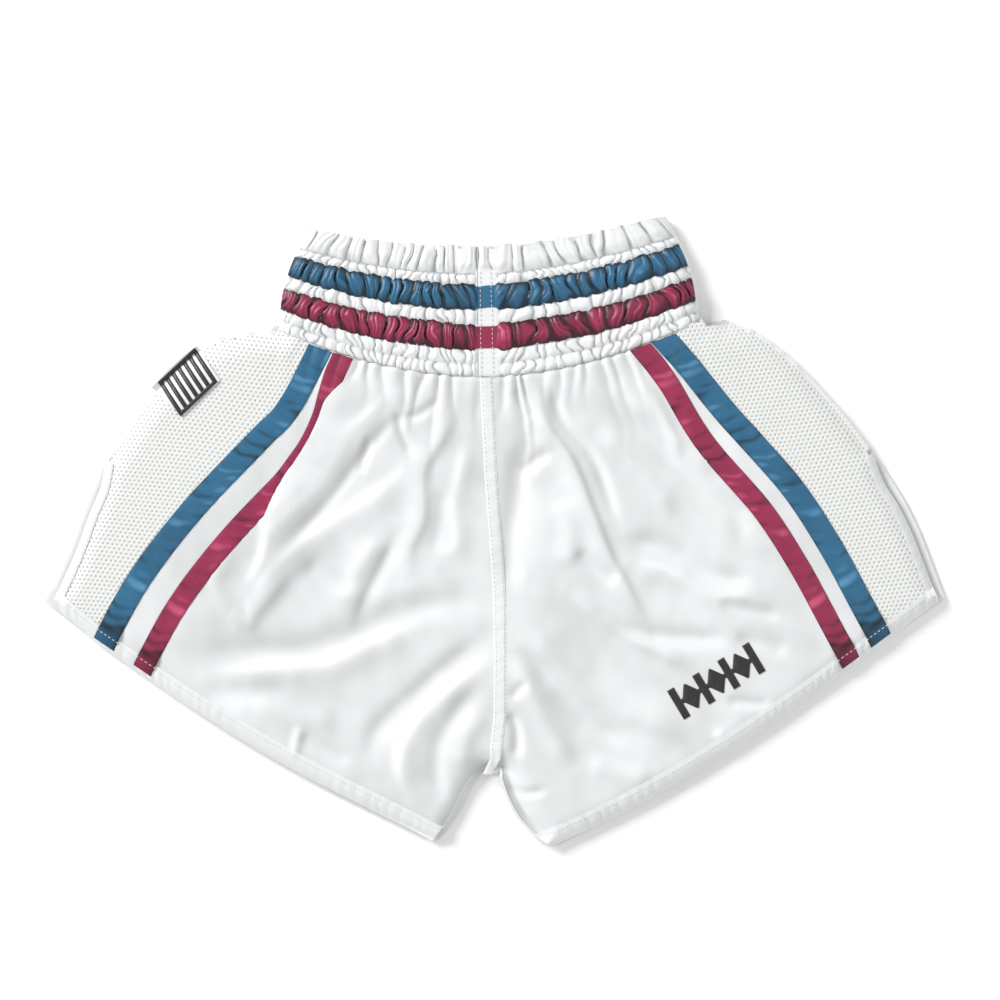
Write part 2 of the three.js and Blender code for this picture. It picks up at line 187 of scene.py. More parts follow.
def distance(points, line):
    """How far each point lies from a line in plan, and how far along the line its nearest spot is."""
    xy = points.reshape(-1, points.shape[-1])[:, :2]
    line = line[:, :2]
    along = lengths(line)
    best = np.full(len(xy), np.inf)
    where = np.zeros(len(xy))
    for i in range(len(line) - 1):
        run = line[i + 1] - line[i]
        size = float(run @ run)
        share = np.clip(((xy - line[i]) @ run) / size, 0, 1) if size else np.zeros(len(xy))
        gap = np.hypot(*(xy - line[i] - share[:, None] * run).T)
        closer = gap < best
        best[closer] = gap[closer]
        where[closer] = along[i] + share[closer] * math.sqrt(size)
    return best.reshape(points.shape[:-1]), where.reshape(points.shape[:-1])


# ---------------------------------------------------------------- seeded noise


def lattice(seed, size=64):
    return np.random.default_rng(seed).uniform(-1, 1, (size, size))


def noise(x, y, seed):
    """Smooth noise from -1 to 1 that changes over one unit of x and y."""
    table = lattice(seed)
    size = len(table)
    x0, y0 = np.floor(x).astype(int), np.floor(y).astype(int)
    fx, fy = x - x0, y - y0
    fx, fy = fx * fx * (3 - 2 * fx), fy * fy * (3 - 2 * fy)
    a, b = table[x0 % size, y0 % size], table[(x0 + 1) % size, y0 % size]
    c, d = table[x0 % size, (y0 + 1) % size], table[(x0 + 1) % size, (y0 + 1) % size]
    return (a * (1 - fx) + b * fx) * (1 - fy) + (c * (1 - fx) + d * fx) * fy


def pleats(s, pitch, seed, sharp=0.7):
    """Rounded pleats along s, from 0 at the foot of each pleat to 1 at its top, with uneven widths and
    heights.
    """
    rng = np.random.default_rng(seed)
    widths = pitch * rng.uniform(0.55, 1.5, 400)
    edges = np.cumsum(widths) - widths[:200].sum()
    crowns = rng.uniform(0.55, 1.0, 401)
    index = np.clip(np.searchsorted(edges, s) - 1, 0, len(edges) - 2)
    share = np.clip((s - edges[index]) / (edges[index + 1] - edges[index]), 0, 1)
    return crowns[index] * np.sin(np.pi * share) ** sharp


def smoothstep(x, low, high):
    t = np.clip((x - low) / (high - low), 0, 1)
    return t * t * (3 - 2 * t)


# ---------------------------------------------------------------- the lines that the cloth follows

BLUE_TAPE, CRIMSON_TAPE = "blue_tape", "crimson_tape"
WAIST_SEAM = {s: smooth_line(four_sides(f"front_waistband_{s}")["bottom"], 40) for s in SIDES}
RIM = {}
for side_name in SIDES:
    edge = outline(f"front_mesh_panel_{side_name}")
    corners = [int(np.argmin(np.abs(edge[:, 0]))), int(np.argmax(edge[:, 1])),
               int(np.argmax(np.abs(edge[:, 0]))), int(np.argmin(edge[:, 1]))]
    side_edge = stretch_between(edge, corners[1], corners[2], (corners[0], corners[3]))
    inner_edge = four_sides(f"front_satin_panel_{side_name}")["inner"]
    binding = outline(f"front_vent_edge_{side_name}")
    above_vent = distance(side_edge, np.vstack([binding, binding[:1]]))[0] > 1 * MM
    flanks = four_sides(f"front_vent_edge_{side_name}", inner_by="y")
    RIM[side_name] = (
        side_edge[above_vent],
        max(flanks["inner"], flanks["outer"], key=lambda line: np.abs(line[:, 0]).mean()),
        four_sides(f"front_hem_{side_name}")["bottom"],
        inner_edge[inner_edge[:, 1] < -0.152],
    )

# Where the centre strip wanders from a straight line: height up the shorts and shift to the right, in mm.
CENTRE_LEAN = ((-206, -8), (-160, -6), (-148, 0), (-121, 3), (-83, 3.4), (-44, 3), (-18, 1.4),
               (40, -3), (99, -5.8), (186, -6.4), (206, -6.4))
LEAN_WIDTH = 46 * MM


def lean(grid):
    """Moves points near the centre with the strip that runs down it."""
    heights, shifts = np.array(CENTRE_LEAN).T * MM
    moved = grid.copy()
    near = np.exp(-(grid[..., 0] / LEAN_WIDTH) ** 2)
    moved[..., 0] += near * np.interp(grid[..., 1], heights, shifts)
    return moved


# Folds of the front leg panels: points in mm, half width, height (valleys are negative)
# and lean, which makes one flank steeper than the other.
FOLDS = (
    (((-68, 88), (-90, 66), (-116, 27), (-144, 1), (-151, -20), (-166, -46)), 8, 2.6, 0.5),
    (((-60, 80), (-84, 52), (-108, 20), (-136, -10)), 4, -1.2, 0),
    (((-51, 47), (-73, 25), (-131, -14), (-165, -55)), 8, 1.9, 0.3),
    (((-166, -7), (-182, -29), (-174, -48), (-161, -59), (-155, -51), (-129, -20)), 6, 1.6, 0.2),
    (((-198, -82), (-161, -77), (-129, -77), (-96, -68), (-75, -57), (-42, -48), (-3, -45)), 9, -2.4, 0),
    (((-190, -95), (-150, -91), (-110, -88), (-80, -74), (-44, -62)), 8, 1.9, -0.3),
    (((-195, -105), (-129, -103)), 8, -1.0, 0),
    (((-3, -66), (-25, -83), (-47, -101), (-68, -120), (-79, -135), (-75, -157)), 8, -2.3, 0.2),
    (((-3, -85), (-31, -105), (-51, -126), (-60, -148), (-57, -165), (-47, -181)), 7, 2.2, 0.3),
    (((-8, -98), (-25, -118), (-36, -137), (-38, -157), (-34, -178)), 6, -1.7, 0),
    (((-6, -116), (-18, -134), (-24, -156)), 6, 1.4, 0),
    (((-27, 81), (-36, 60), (-47, 40), (-47, 10), (-55, -9), (-57, -25)), 7, 1.8, -0.4),
    (((-16, 62), (-21, 40), (-25, 19), (-24, -7), (-36, -20)), 6, 1.3, 0.3),
    (((-34, 30), (-36, 4), (-42, -16)), 5, -1.1, 0),
    (((-64, 79), (-60, 62), (-53, 49)), 3, -1.6, 0),
    (((-60, 75), (-50, 76), (-36, 86)), 3, -1.3, 0),
    (((-81, 64), (-88, 36)), 3, -1.0, 0),
    (((-64, -3), (-77, -29), (-86, -48), (-90, -61)), 5, -1.6, 0.3),
    (((-74, -2), (-90, -28), (-100, -50)), 6, 1.5, 0),
    (((-125, -18), (-108, -30), (-88, -38)), 7, -1.6, 0),
    (((-100, -120), (-128, -122), (-160, -112)), 8, 1.1, 0),
    (((-92, -150), (-110, -142), (-129, -132)), 5, -1.0, 0),
    (((-126, -126), (-129, -138), (-131, -150)), 3, 1.4, 0),
    (((-60, -40), (-66, -18), (-60, 8)), 9, -1.0, 0),
    (((21, 62), (16, 45), (14, 19), (9, -20), (12, -44)), 8, -2.2, 0),
    (((12, 94), (19, 83), (27, 73)), 3, -1.2, 0),
    (((31, 94), (34, 68), (49, 47), (64, 10), (75, -18), (83, -31), (99, -64)), 7, 2.3, -0.5),
    (((36, 105), (42, 75), (62, 51), (72, 28), (80, 4)), 4, -1.7, 0),
    (((68, 88), (92, 68), (112, 49), (135, 27), (159, 8), (161, -16)), 8, -2.1, 0.2),
    (((84, 92), (102, 74), (122, 56), (146, 34)), 6, 1.5, 0),
    (((92, 103), (109, 77), (122, 45)), 4, 1.2, 0),
    (((66, 70), (86, 50), (104, 28), (120, 10)), 7, 1.5, 0),
    (((83, -9), (101, -7), (122, -16), (144, -29), (172, -31)), 7, -2.0, 0),
    (((90, -20), (116, -28), (142, -42), (168, -44)), 6, 1.6, -0.3),
    (((144, -44), (164, -50), (187, -55)), 5, -1.3, 0),
    (((155, -70), (174, -72), (192, -78)), 6, -1.1, 0),
    (((51, -12), (64, -22), (81, -33)), 5, -1.5, 0),
    (((73, -55), (88, -64), (112, -68), (155, -70)), 6, -1.7, 0),
    (((47, -38), (75, -61), (105, -77), (120, -85), (129, -94)), 6, 1.8, 0.3),
    (((8, -57), (36, -81), (62, -105), (92, -120), (131, -133)), 10, 2.1, 0.2),
    (((14, -72), (38, -100), (60, -124), (90, -138)), 6, -1.6, 0),
    (((14, -77), (25, -107), (36, -129), (51, -155)), 7, 1.7, 0),
    (((9, -116), (14, -129), (14, -148)), 3, -1.8, 0),
    (((5, -166), (18, -170), (34, -168)), 3, -1.2, 0),
    (((17, 38), (26, 46), (36, 53)), 4, -1.1, 0),
    (((10, -109), (15, -103), (21, -97)), 3, -1.0, 0),
    (((150, -110), (164, -111), (180, -113)), 4, -1.2, 0),
    (((144, -129), (150, -136), (155, -142)), 3, 1.4, 0),
    (((60, -150), (84, -158), (104, -160)), 7, 1.0, 0),
    (((44, 24), (50, -4), (48, -26)), 8, 1.1, 0),
)
FOLD_DEPTH_ENDS = 0.22
DROOP = 5.3 * MM
DROOP_WIDTH = 15 * MM
LOW, RAISE, FALL = 10.2 * MM, 3.3 * MM, 85 * MM
CEILING = 17.2 * MM
LOWEST_FRONT = 4.3 * MM
# How much of the satin's folds each other piece follows.
MESH_DEPTH, VENT_DEPTH, TAPE_DEPTH = 0.35, 0.3, 0.75


def stroke(points, line, half_width, height, slant):
    """One fold: a rounded ridge or valley along a line, which dies away at both ends."""
    line = smooth_line(np.array(line, float) * MM, 22)
    half_width *= MM
    reach = 3.2 * half_width
    x, y = points[..., 0], points[..., 1]
    near = ((x > line[:, 0].min() - reach) & (x < line[:, 0].max() + reach)
            & (y > line[:, 1].min() - reach) & (y < line[:, 1].max() + reach))
    total = np.zeros(x.shape)
    if not near.any():
        return total
    spots = points[near][:, :2]
    gap, along = distance(spots, line)
    size = lengths(line)[-1]
    spot = np.stack([np.interp(along, lengths(line), line[:, k]) for k in (0, 1)], axis=1)
    way = np.stack([np.interp(along, lengths(line), np.gradient(line[:, k])) for k in (0, 1)], axis=1)
    side = np.sign(way[:, 0] * (spots - spot)[:, 1] - way[:, 1] * (spots - spot)[:, 0])
    width = half_width * (1 + slant * side)
    share = along / size
    ends = smoothstep(share, 0, FOLD_DEPTH_ENDS) * smoothstep(1 - share, 0, FOLD_DEPTH_ENDS)
    beyond = np.exp(-(gap / width) ** 2)
    total[near] = height * MM * beyond * (0.15 + 0.85 * ends)
    return total


def folds(points, depth=1.0):
    total = np.zeros(points.shape[:-1])
    for line, half_width, height, slant in FOLDS:
        deeper = 1.12 if line[0][0] > 0 else 0.94
        total += deeper * stroke(points, line, half_width, height, slant)
    x, y = points[..., 0] / MM, points[..., 1] / MM
    total += 0.45 * MM * noise(x / 34, y / 34, 11) + 0.16 * MM * noise(x / 11, y / 13, 12)
    return total * depth


def rim_distance(points, side):
    return np.min([distance(points, line)[0] for line in RIM[side]], axis=0)


def front_top(points, side, satin=1.0):
    """The height of the front's upper surface at points that the centre strip's wander has moved."""
    below, along = distance(points, lean(WAIST_SEAM[side]))
    level = LOW + RAISE * np.exp(-below / FALL)
    at_rim = np.clip(1 - rim_distance(points, side) / DROOP_WIDTH, 0, 1)
    level = level - DROOP * at_rim ** 2
    s, drop = along / MM, below / MM
    swing = 5 * noise(s / 17, drop / 24, 21) + 2 * noise(s / 7, drop / 15, 22)
    reach = 26 + 16 * noise(s / 12, s * 0, 23)
    gather = pleats(s + swing, 10, 31 if side == "left" else 32, 0.9) - 0.45
    level = level + satin * 2.2 * MM * gather * np.exp(-(drop / reach) ** 1.3)
    fade = smoothstep(below, 2 * MM, 22 * MM) * (1 - 0.5 * at_rim)
    level = level + folds(points, satin) * fade
    return np.clip(level, LOWEST_FRONT, CEILING)


# The painted shade value that paints neither shade nor highlight.
NEUTRAL = 0.65
SLOPE_STEP = 2.5 * MM
LIGHT_SIDE = np.array([-0.78, 0.62])


def painted_slope_shade(points, side, satin, gain):
    """Painted shade and light for the satin panels: darker where the surface climbs towards a fixed light
    side, lighter where it falls away, up to a painted shine, with some random variation.
    """
    ahead, behind = points.copy(), points.copy()
    ahead[..., :2] += LIGHT_SIDE * SLOPE_STEP
    behind[..., :2] -= LIGHT_SIDE * SLOPE_STEP
    climb = (front_top(ahead, side, satin) - front_top(behind, side, satin)) / (2 * SLOPE_STEP)
    x, y = points[..., 0] / MM, points[..., 1] / MM
    return PANEL_TONE - gain * climb + 0.07 * noise(x / 45, y / 60, 17) + 0.03 * noise(x / 9, y / 12, 18)


# ---------------------------------------------------------------- meshes


def shell(name, top, bottom, finish, smooth=50, crease=None):
    """A closed sheet between two grids of points, with a map in metres that follows the cloth.
    It carries a painted shade value per point: 0 paints full shade, as in the deepest creases, and 1 paints
    a highlight, as on bright crowns."""
    rows, columns = top.shape[:2]
    count = rows * columns
    index = np.arange(count).reshape(rows, columns)
    quads = np.stack([index[:-1, :-1], index[1:, :-1], index[1:, 1:], index[:-1, 1:]], -1).reshape(-1, 4)
    rim = np.concatenate([index[:-1, 0], index[-1, :-1], index[:0:-1, -1], index[0, :0:-1]])
    following = np.roll(rim, -1)
    walls = np.stack([following, rim, rim + count, following + count], -1)
    faces = np.concatenate([quads, quads[:, ::-1] + count, walls])
    a, b, c = (top.reshape(-1, 3)[quads[:, k]] for k in (0, 1, 2))
    if np.cross(b - a, c - a)[:, 2].sum() < 0:
        faces = faces[:, ::-1]
    mesh = bpy.data.meshes.new(name)
    points = np.concatenate([top.reshape(-1, 3), bottom.reshape(-1, 3)])
    mesh.from_pydata(points.tolist(), [], faces.tolist())
    across = np.zeros((rows, columns))
    across[:, 1:] = np.cumsum(np.linalg.norm(np.diff(top, axis=1), axis=2), axis=1)
    down = np.zeros((rows, columns))
    down[1:] = np.cumsum(np.linalg.norm(np.diff(top, axis=0), axis=2), axis=0)
    place = np.tile(np.stack([across, down], -1).reshape(-1, 2), (2, 1))
    layer = mesh.uv_layers.new(name="cloth")
    corners_used = np.zeros(len(mesh.loops), np.int32)
    mesh.loops.foreach_get("vertex_index", corners_used)
    layer.data.foreach_set("uv", place[corners_used].ravel().astype(np.float32))
    shade = np.full((rows, columns), NEUTRAL) if crease is None else np.clip(crease, 0, 1)
    # The painted shade value, kept as a point attribute that the satin material reads.
    layer = mesh.attributes.new("crease", "FLOAT", "POINT")
    layer.data.foreach_set("value", np.tile(shade.ravel(), 2).astype(np.float32))
    mesh.polygons.foreach_set("use_smooth", [True] * len(mesh.polygons))
    mesh.set_sharp_from_angle(angle=math.radians(smooth))
    mesh.materials.append(finish)
    return add_object(name, mesh)


def add_object(name, mesh):
    piece = bpy.data.objects.new(name, mesh)
    bpy.context.scene.collection.objects.link(piece)
    return piece


def joined(name, pieces):
    """Several pieces made one mesh, with their materials kept."""
    mesh = bmesh.new()
    materials = []
    for piece in pieces:
        slots = []
        for material in piece.data.materials:
            if material not in materials:
                materials.append(material)
            slots.append(materials.index(material))
        before = len(mesh.faces)
        mesh.from_mesh(piece.data)
        mesh.faces.ensure_lookup_table()
        for face in mesh.faces[before:]:
            face.material_index = slots[face.material_index]
    data = bpy.data.meshes.new(name)
    mesh.to_mesh(data)
    mesh.free()
    for piece in pieces:
        bpy.data.meshes.remove(piece.data)
    for material in materials:
        data.materials.append(material)
    return add_object(name, data)


def white_shell(name, grid, high, low, node_name, crease=None):
    """A white satin piece between two heights over a grid, in place of one node of the frame."""
    piece = shell(name, lifted(grid, high), lifted(grid, low), material("white_satin"), crease=crease)
    return attach(piece, (node_name,))


def lifted(grid, height):
    raised = grid.copy()
    raised[..., 2] = height
    return raised


BEND_START = FOLD.x
BEND_END = FOLD.x - 34 * MM


def attach(piece, nodes=()):
    """Ties a piece to the half that carries it; a piece that crosses the centre fold stays on neither half,
    with its transform baked in.
    """
    x = np.array([v.co.x for v in piece.data.vertices])
    if x.min() >= BEND_START - 1e-4:
        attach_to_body(piece, RIGHT_BODY)
    elif x.max() <= BEND_END:
        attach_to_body(piece, LEFT_BODY)
    else:
        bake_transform(piece)
    if nodes:
        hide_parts(*nodes)
    return piece


def declare(piece, grid, fullness=1.0):
    """Works out the size a sheet was cut to: its plan area, and more across where it is gathered. Nothing
    keeps the result.
    """
    flat = grid.copy()
    flat[..., 2] = 0
    a, b, c, d = flat[:-1, :-1], flat[1:, :-1], flat[1:, 1:], flat[:-1, 1:]
    area = 0.5 * np.abs(np.cross((c - a)[..., :2], (d - b)[..., :2])).sum() * fullness


# ---------------------------------------------------------------- materials


def node(tree, kind, settings=None, links=None):
    """Adds a shader or geometry node, sets its properties and inputs, and links outputs into its inputs."""
    made = tree.nodes.new(kind)
    for name, value in (settings or {}).items():
        if isinstance(name, int) or name in made.inputs:
            made.inputs[name].default_value = value
        else:
            setattr(made, name, value)
    for name, output in (links or {}).items():
        tree.links.new(output, made.inputs[name])
    return made


def wave_scale(period_mm):
    """The Wave Texture scale that gives bands this far apart on a map in metres."""
    return 2 * math.pi / (20 * period_mm * MM)


def new_material(name):
    made = bpy.data.materials.new(name)
    made.use_nodes = True
    made.node_tree.nodes.clear()
    return made, made.node_tree


def finish_with(tree, settings, links):
    """Ends a material with its Principled shader."""
    shader = node(tree, "ShaderNodeBsdfPrincipled", settings, links)
    node(tree, "ShaderNodeOutputMaterial", links={"Surface": shader.outputs[0]})


def satin(name, light, shades, roughness, sheen, thread_mm=0.9):
    """Woven polyester satin: long floats give a soft, directional gloss and a fine ribbed hand. Its creases
    get painted shade and its crowns a painted highlight, mixed into the colour from a point attribute.
    Its threads are 0.1 mm apart and are drawn coarser, or they wouldn't show."""
    dark_share, shadow_share, shine_gain, shine_lift = shades
    dark = [c * dark_share for c in light]
    # Colour of the painted shade in creases, and colour of the painted highlight on crowns, which also
    # tints the sheen.
    shadow = [c * shadow_share for c in light]
    shine = [min(c * shine_gain + shine_lift, 1.0) for c in light]
    made, tree = new_material(name)
    place = node(tree, "ShaderNodeTexCoord")
    warp = node(tree, "ShaderNodeTexWave", {
        "wave_type": "BANDS", "bands_direction": "X", "Scale": wave_scale(thread_mm),
        "Distortion": 1.2, "Detail": 2.0, "Detail Scale": 1.5}, {"Vector": place.outputs["UV"]})
    weft = node(tree, "ShaderNodeTexWave", {
        "wave_type": "BANDS", "bands_direction": "Y", "Scale": wave_scale(thread_mm * 0.6),
        "Distortion": 0.8, "Detail": 1.0}, {"Vector": place.outputs["UV"]})
    weave = node(tree, "ShaderNodeMath", {"operation": "ADD"},
                 {0: warp.outputs["Fac"], 1: weft.outputs["Fac"]})
    cloud = node(tree, "ShaderNodeTexNoise", {"Scale": 45.0, "Detail": 4.0, "Roughness": 0.6},
                 {"Vector": place.outputs["Object"]})
    patchy = node(tree, "ShaderNodeMapRange", {"From Min": 0.3, "From Max": 0.7},
                  {"Value": cloud.outputs["Fac"]})
    base = node(tree, "ShaderNodeMix", {"data_type": "RGBA", 6: (*light, 1), 7: (*dark, 1)},
                {0: patchy.outputs["Result"]})
    crease = node(tree, "ShaderNodeAttribute", {"attribute_name": "crease"})
    # Painted shade where the painted shade value is low, and a painted highlight where it is high.
    deep = node(tree, "ShaderNodeMapRange", {
        "From Min": 0.05, "From Max": 0.5, "To Min": 1.0, "To Max": 0.0}, {"Value": crease.outputs["Fac"]})
    crown = node(tree, "ShaderNodeMapRange", {"From Min": 0.74, "From Max": 1.0},
                 {"Value": crease.outputs["Fac"]})
    base = node(tree, "ShaderNodeMix", {"data_type": "RGBA", 7: (*shadow, 1)},
                {0: deep.outputs["Result"], 6: base.outputs[2]})
    base = node(tree, "ShaderNodeMix", {"data_type": "RGBA", 7: (*shine, 1)},
                {0: crown.outputs["Result"], 6: base.outputs[2]})
    gloss = node(tree, "ShaderNodeMapRange", {
        "From Min": 0.0, "From Max": 2.0, "To Min": roughness - 0.04, "To Max": roughness + 0.06},
        {"Value": weave.outputs[0]})
    bump = node(tree, "ShaderNodeBump", {"Strength": 0.12, "Distance": 0.00012},
                {"Height": weave.outputs[0]})
    finish_with(
        tree, {"IOR": 1.5, "Sheen Weight": sheen, "Sheen Roughness": 0.35, "Sheen Tint": (*shine, 1)},
        {"Base Color": base.outputs[2], "Roughness": gloss.outputs["Result"], "Normal": bump.outputs[0]})
    return made


def plain_weave(name, light, dark_share, roughness, rib_mm, depth=0.00015):
    """Plain-woven or knitted yarn: matt, with a visible rib across it."""
    dark = [c * dark_share for c in light]
    made, tree = new_material(name)
    place = node(tree, "ShaderNodeTexCoord")
    ribs = node(tree, "ShaderNodeTexWave", {
        "wave_type": "BANDS", "bands_direction": "Y", "Scale": wave_scale(rib_mm),
        "Distortion": 1.5, "Detail": 2.0}, {"Vector": place.outputs["UV"]})
    fuzz = node(tree, "ShaderNodeTexNoise", {"Scale": 900.0, "Detail": 3.0},
                {"Vector": place.outputs["Object"]})
    mixed = node(tree, "ShaderNodeMath", {"operation": "MULTIPLY"},
                 {0: ribs.outputs["Fac"], 1: fuzz.outputs["Fac"]})
    base = node(tree, "ShaderNodeMix", {"data_type": "RGBA", 6: (*light, 1), 7: (*dark, 1)},
                {0: fuzz.outputs["Fac"]})
    bump = node(tree, "ShaderNodeBump", {"Strength": 0.3, "Distance": depth}, {"Height": mixed.outputs[0]})
    finish_with(
        tree, {"IOR": 1.5, "Roughness": roughness, "Sheen Weight": 0.15, "Sheen Roughness": 0.5},
        {"Base Color": base.outputs[2], "Normal": bump.outputs[0]})
    return made


# Each satin's shades are its dark threads, its painted crease shade, and the gain and lift of its painted
# shine.
WHITE_SHADES = (0.965, 0.4, 1.09, 0.0)
RIBBON_SHADES = (0.72, 0.13, 1.6, 0.05)
FINISHES = {
    "white_satin": (satin, "white polyester satin", "white", WHITE_SHADES, 0.36, 0.1),
    "blue_satin": (satin, "petrol blue satin ribbon", "blue", RIBBON_SHADES, 0.38, 0.15, 0.7),
    "crimson_satin": (satin, "crimson satin ribbon", "crimson", RIBBON_SHADES, 0.38, 0.15, 0.7),
    "white_mesh": (plain_weave, "warp-knitted polyester mesh", "mesh_white", 0.9, 0.6, 0.8),
    "woven_elastic": (plain_weave, "woven rubber-cored elastic", "elastic_white", 0.85, 0.7, 1.2),
    "black_thread": (plain_weave, "black embroidery thread", "black", 1.7, 0.42, 0.8),
    "white_thread": (plain_weave, "spun polyester sewing thread", "thread_white", 0.85, 0.5, 0.5),
}
MATERIALS = {}


def material(name):
    """Each finish, made the first time that it is asked for."""
    if name not in MATERIALS:
        maker, title, hue, *looks = FINISHES[name]
        MATERIALS[name] = maker(title, list(getattr(bpy.context.scene.boxing_shorts, hue)), *looks)
    return MATERIALS[name]


# ---------------------------------------------------------------- waistband shape

# Heights of the stitched rows up the band, in mm, and for each tunnel between them the pleat pitch,
# how far its crowns stand up and how much the pleats slant.
BAND_TOP = 86
ROWS = (0, 8.5, 18, 34, 44, 60, 67, BAND_TOP)
TUNNELS = ((6.2, 2.2, 1.0), (6.6, 2.4, -1.5), (8.2, 3.5, 3.5), (7.2, 2.6, 1.0), (8.6, 3.5, -3.5),
           (6.4, 2.2, 1.0), (12.5, 2.9, 1.5))
BAND_FLOOR = 13.3 * MM
BAND_WIDTH = {"left": 138.0, "right": 129.0}
STRIP_END = {"left": (0, 3), "right": (10.5, 14)}
STRIP_RISE = 0.9
SIDE_REACH = 11
SIDE_DROP = 4.4 * MM
BACK_BAND = 2.8 * MM
BACK_SEED = 200
# Strength of the thin painted shadow lines down the waistband pleats' valleys.
PAINTED_VALLEY_LINE_STRENGTH = 0.35


BAND = {s: patch(four_sides(f"front_waistband_{s}"), 190, 86) for s in SIDES}


def band_point(side, s, h):
    """Plan position on the band: s mm out from the centre and h mm up from the waist seam."""
    grid = BAND[side]
    rows, columns = grid.shape[0] - 1, grid.shape[1] - 1
    v = np.clip(rows * (1 - h / BAND_TOP), 0, rows - 1e-6)
    u = np.clip(columns * s / BAND_WIDTH[side], 0, columns - 1e-6)
    r, c = np.floor(v).astype(int), np.floor(u).astype(int)
    fr, fc = (v - r)[..., None], (u - c)[..., None]
    low = grid[r, c] * (1 - fc) + grid[r, c + 1] * fc
    high = grid[r + 1, c] * (1 - fc) + grid[r + 1, c + 1] * fc
    return low * (1 - fr) + high * fr


def near_side(side, s, reach=SIDE_REACH):
    """From 0 at reach mm before the band's side to 1 at its side."""
    return np.clip(1 - (BAND_WIDTH[side] - s) / reach, 0, 1)


def gathers(side, s, h, seed=0):
    """Height of the gathered casing above its stitched rows, in mm, the pleat's share there, and a painted
    shade value:
    darker in the pleats' valleys and by the stitched rows, with thin painted shadow lines down the valleys,
    and lighter on the crowns.
    """
    total, crowns, shade = np.zeros((3, *s.shape))
    for k, (pitch, rise, slant) in enumerate(TUNNELS):
        low, high = ROWS[k], ROWS[k + 1]
        inside = (h >= low) & (h <= high)
        t = np.clip((h - low) / (high - low), 0, 1)
        shift = slant * (t - 0.5) * (0.6 + noise(s / 19, s * 0 + k, 41 + seed))
        shift = shift + 2.5 * noise(s / 8, t * 1.6 + 7 * k, 43 + seed) + 1.3 * np.sin(3 * t + s / 11)
        own = pleats(s + shift, pitch, 50 + 2 * k + seed + (side == "left") * 20, 0.55)
        fine = pleats(s + 1.6 * shift, pitch * 0.46, 90 + k + seed + (side == "left") * 20, 0.8)
        pinch = np.sin(np.pi * t) ** 0.55
        if k == len(TUNNELS) - 1:
            pinch = 0.25 + 0.75 * smoothstep(t, 0, 0.45)
        ribbon = 0.34 if k in (2, 4) else 0.24
        fold = (1 - ribbon) * own + ribbon * fine
        share = fold * pinch
        # A thin painted shadow line down each pleat's valley, broken up by noise.
        painted_valley_line = np.clip(1 - own / 0.5, 0, 1) * np.clip(0.55 + 0.9 * noise(s / 5, h / 6, 67 + seed), 0, 1)
        shade = np.where(inside, fold * (0.35 + 0.65 * pinch) - PAINTED_VALLEY_LINE_STRENGTH * painted_valley_line, shade)
        total = np.where(inside, rise * share, total)
        crowns = np.where(inside, share, crowns)
    near, far = STRIP_END[side]
    free = np.maximum(smoothstep(s, near, far), smoothstep(h, 67, 72))
    strip = STRIP_RISE * (1 - free) * (h < 70) * (side == "right")
    return total * free + strip, crowns * free, NEUTRAL + (shade - NEUTRAL) * free


def band_surface(side, s, h, seed=0):
    """Points of the front band's upper surface."""
    rise, crowns = gathers(side, s, h, seed)[:2]
    sway = (0.9 * noise(s / 9, h / 14, 61) + 1.7 * noise(s / 7, s * 0, 68) - 0.9) * smoothstep(h, 60, 84)
    notch = 1.6 * (h > 80) * (1 - crowns) * (h - 80) / 6
    points = lean(band_point(side, s, np.clip(h + sway - notch, 0, BAND_TOP)))
    tucked = 0.9 * MM * np.clip(1 - h / 1.8, 0, 1) ** 2
    points[..., 2] = BAND_FLOOR + rise * MM - SIDE_DROP * near_side(side, s) ** 2 - tucked
    return points


def span(side, step, low, high, rise):
    s = np.linspace(0, BAND_WIDTH[side], int(BAND_WIDTH[side] / step))
    h = np.linspace(high, low, int((high - low) / rise) + 1)
    return np.meshgrid(s, h)


def upside_down(points, thickness):
    """The back's own copy of a front surface: turned over, and lying on the floor."""
    turned = points.copy()
    turned[..., 2] = BACK_BAND - 0.55 * (points[..., 2] - BAND_FLOOR)
    turned[..., 2] = np.clip(turned[..., 2], thickness, None)
    return turned


# ---------------------------------------------------------------- stitches and mesh fabric


def node_group(name, sizes):
    """A geometry tree with a mesh in, a mesh out and a named input for each size."""
    tree = bpy.data.node_groups.new(name, "GeometryNodeTree")
    tree.interface.new_socket("Geometry", in_out="INPUT", socket_type="NodeSocketGeometry")
    for title in sizes:
        tree.interface.new_socket(title, in_out="INPUT", socket_type="NodeSocketFloat")
    tree.interface.new_socket("Geometry", in_out="OUTPUT", socket_type="NodeSocketGeometry")
    return tree, node(tree, "NodeGroupInput")


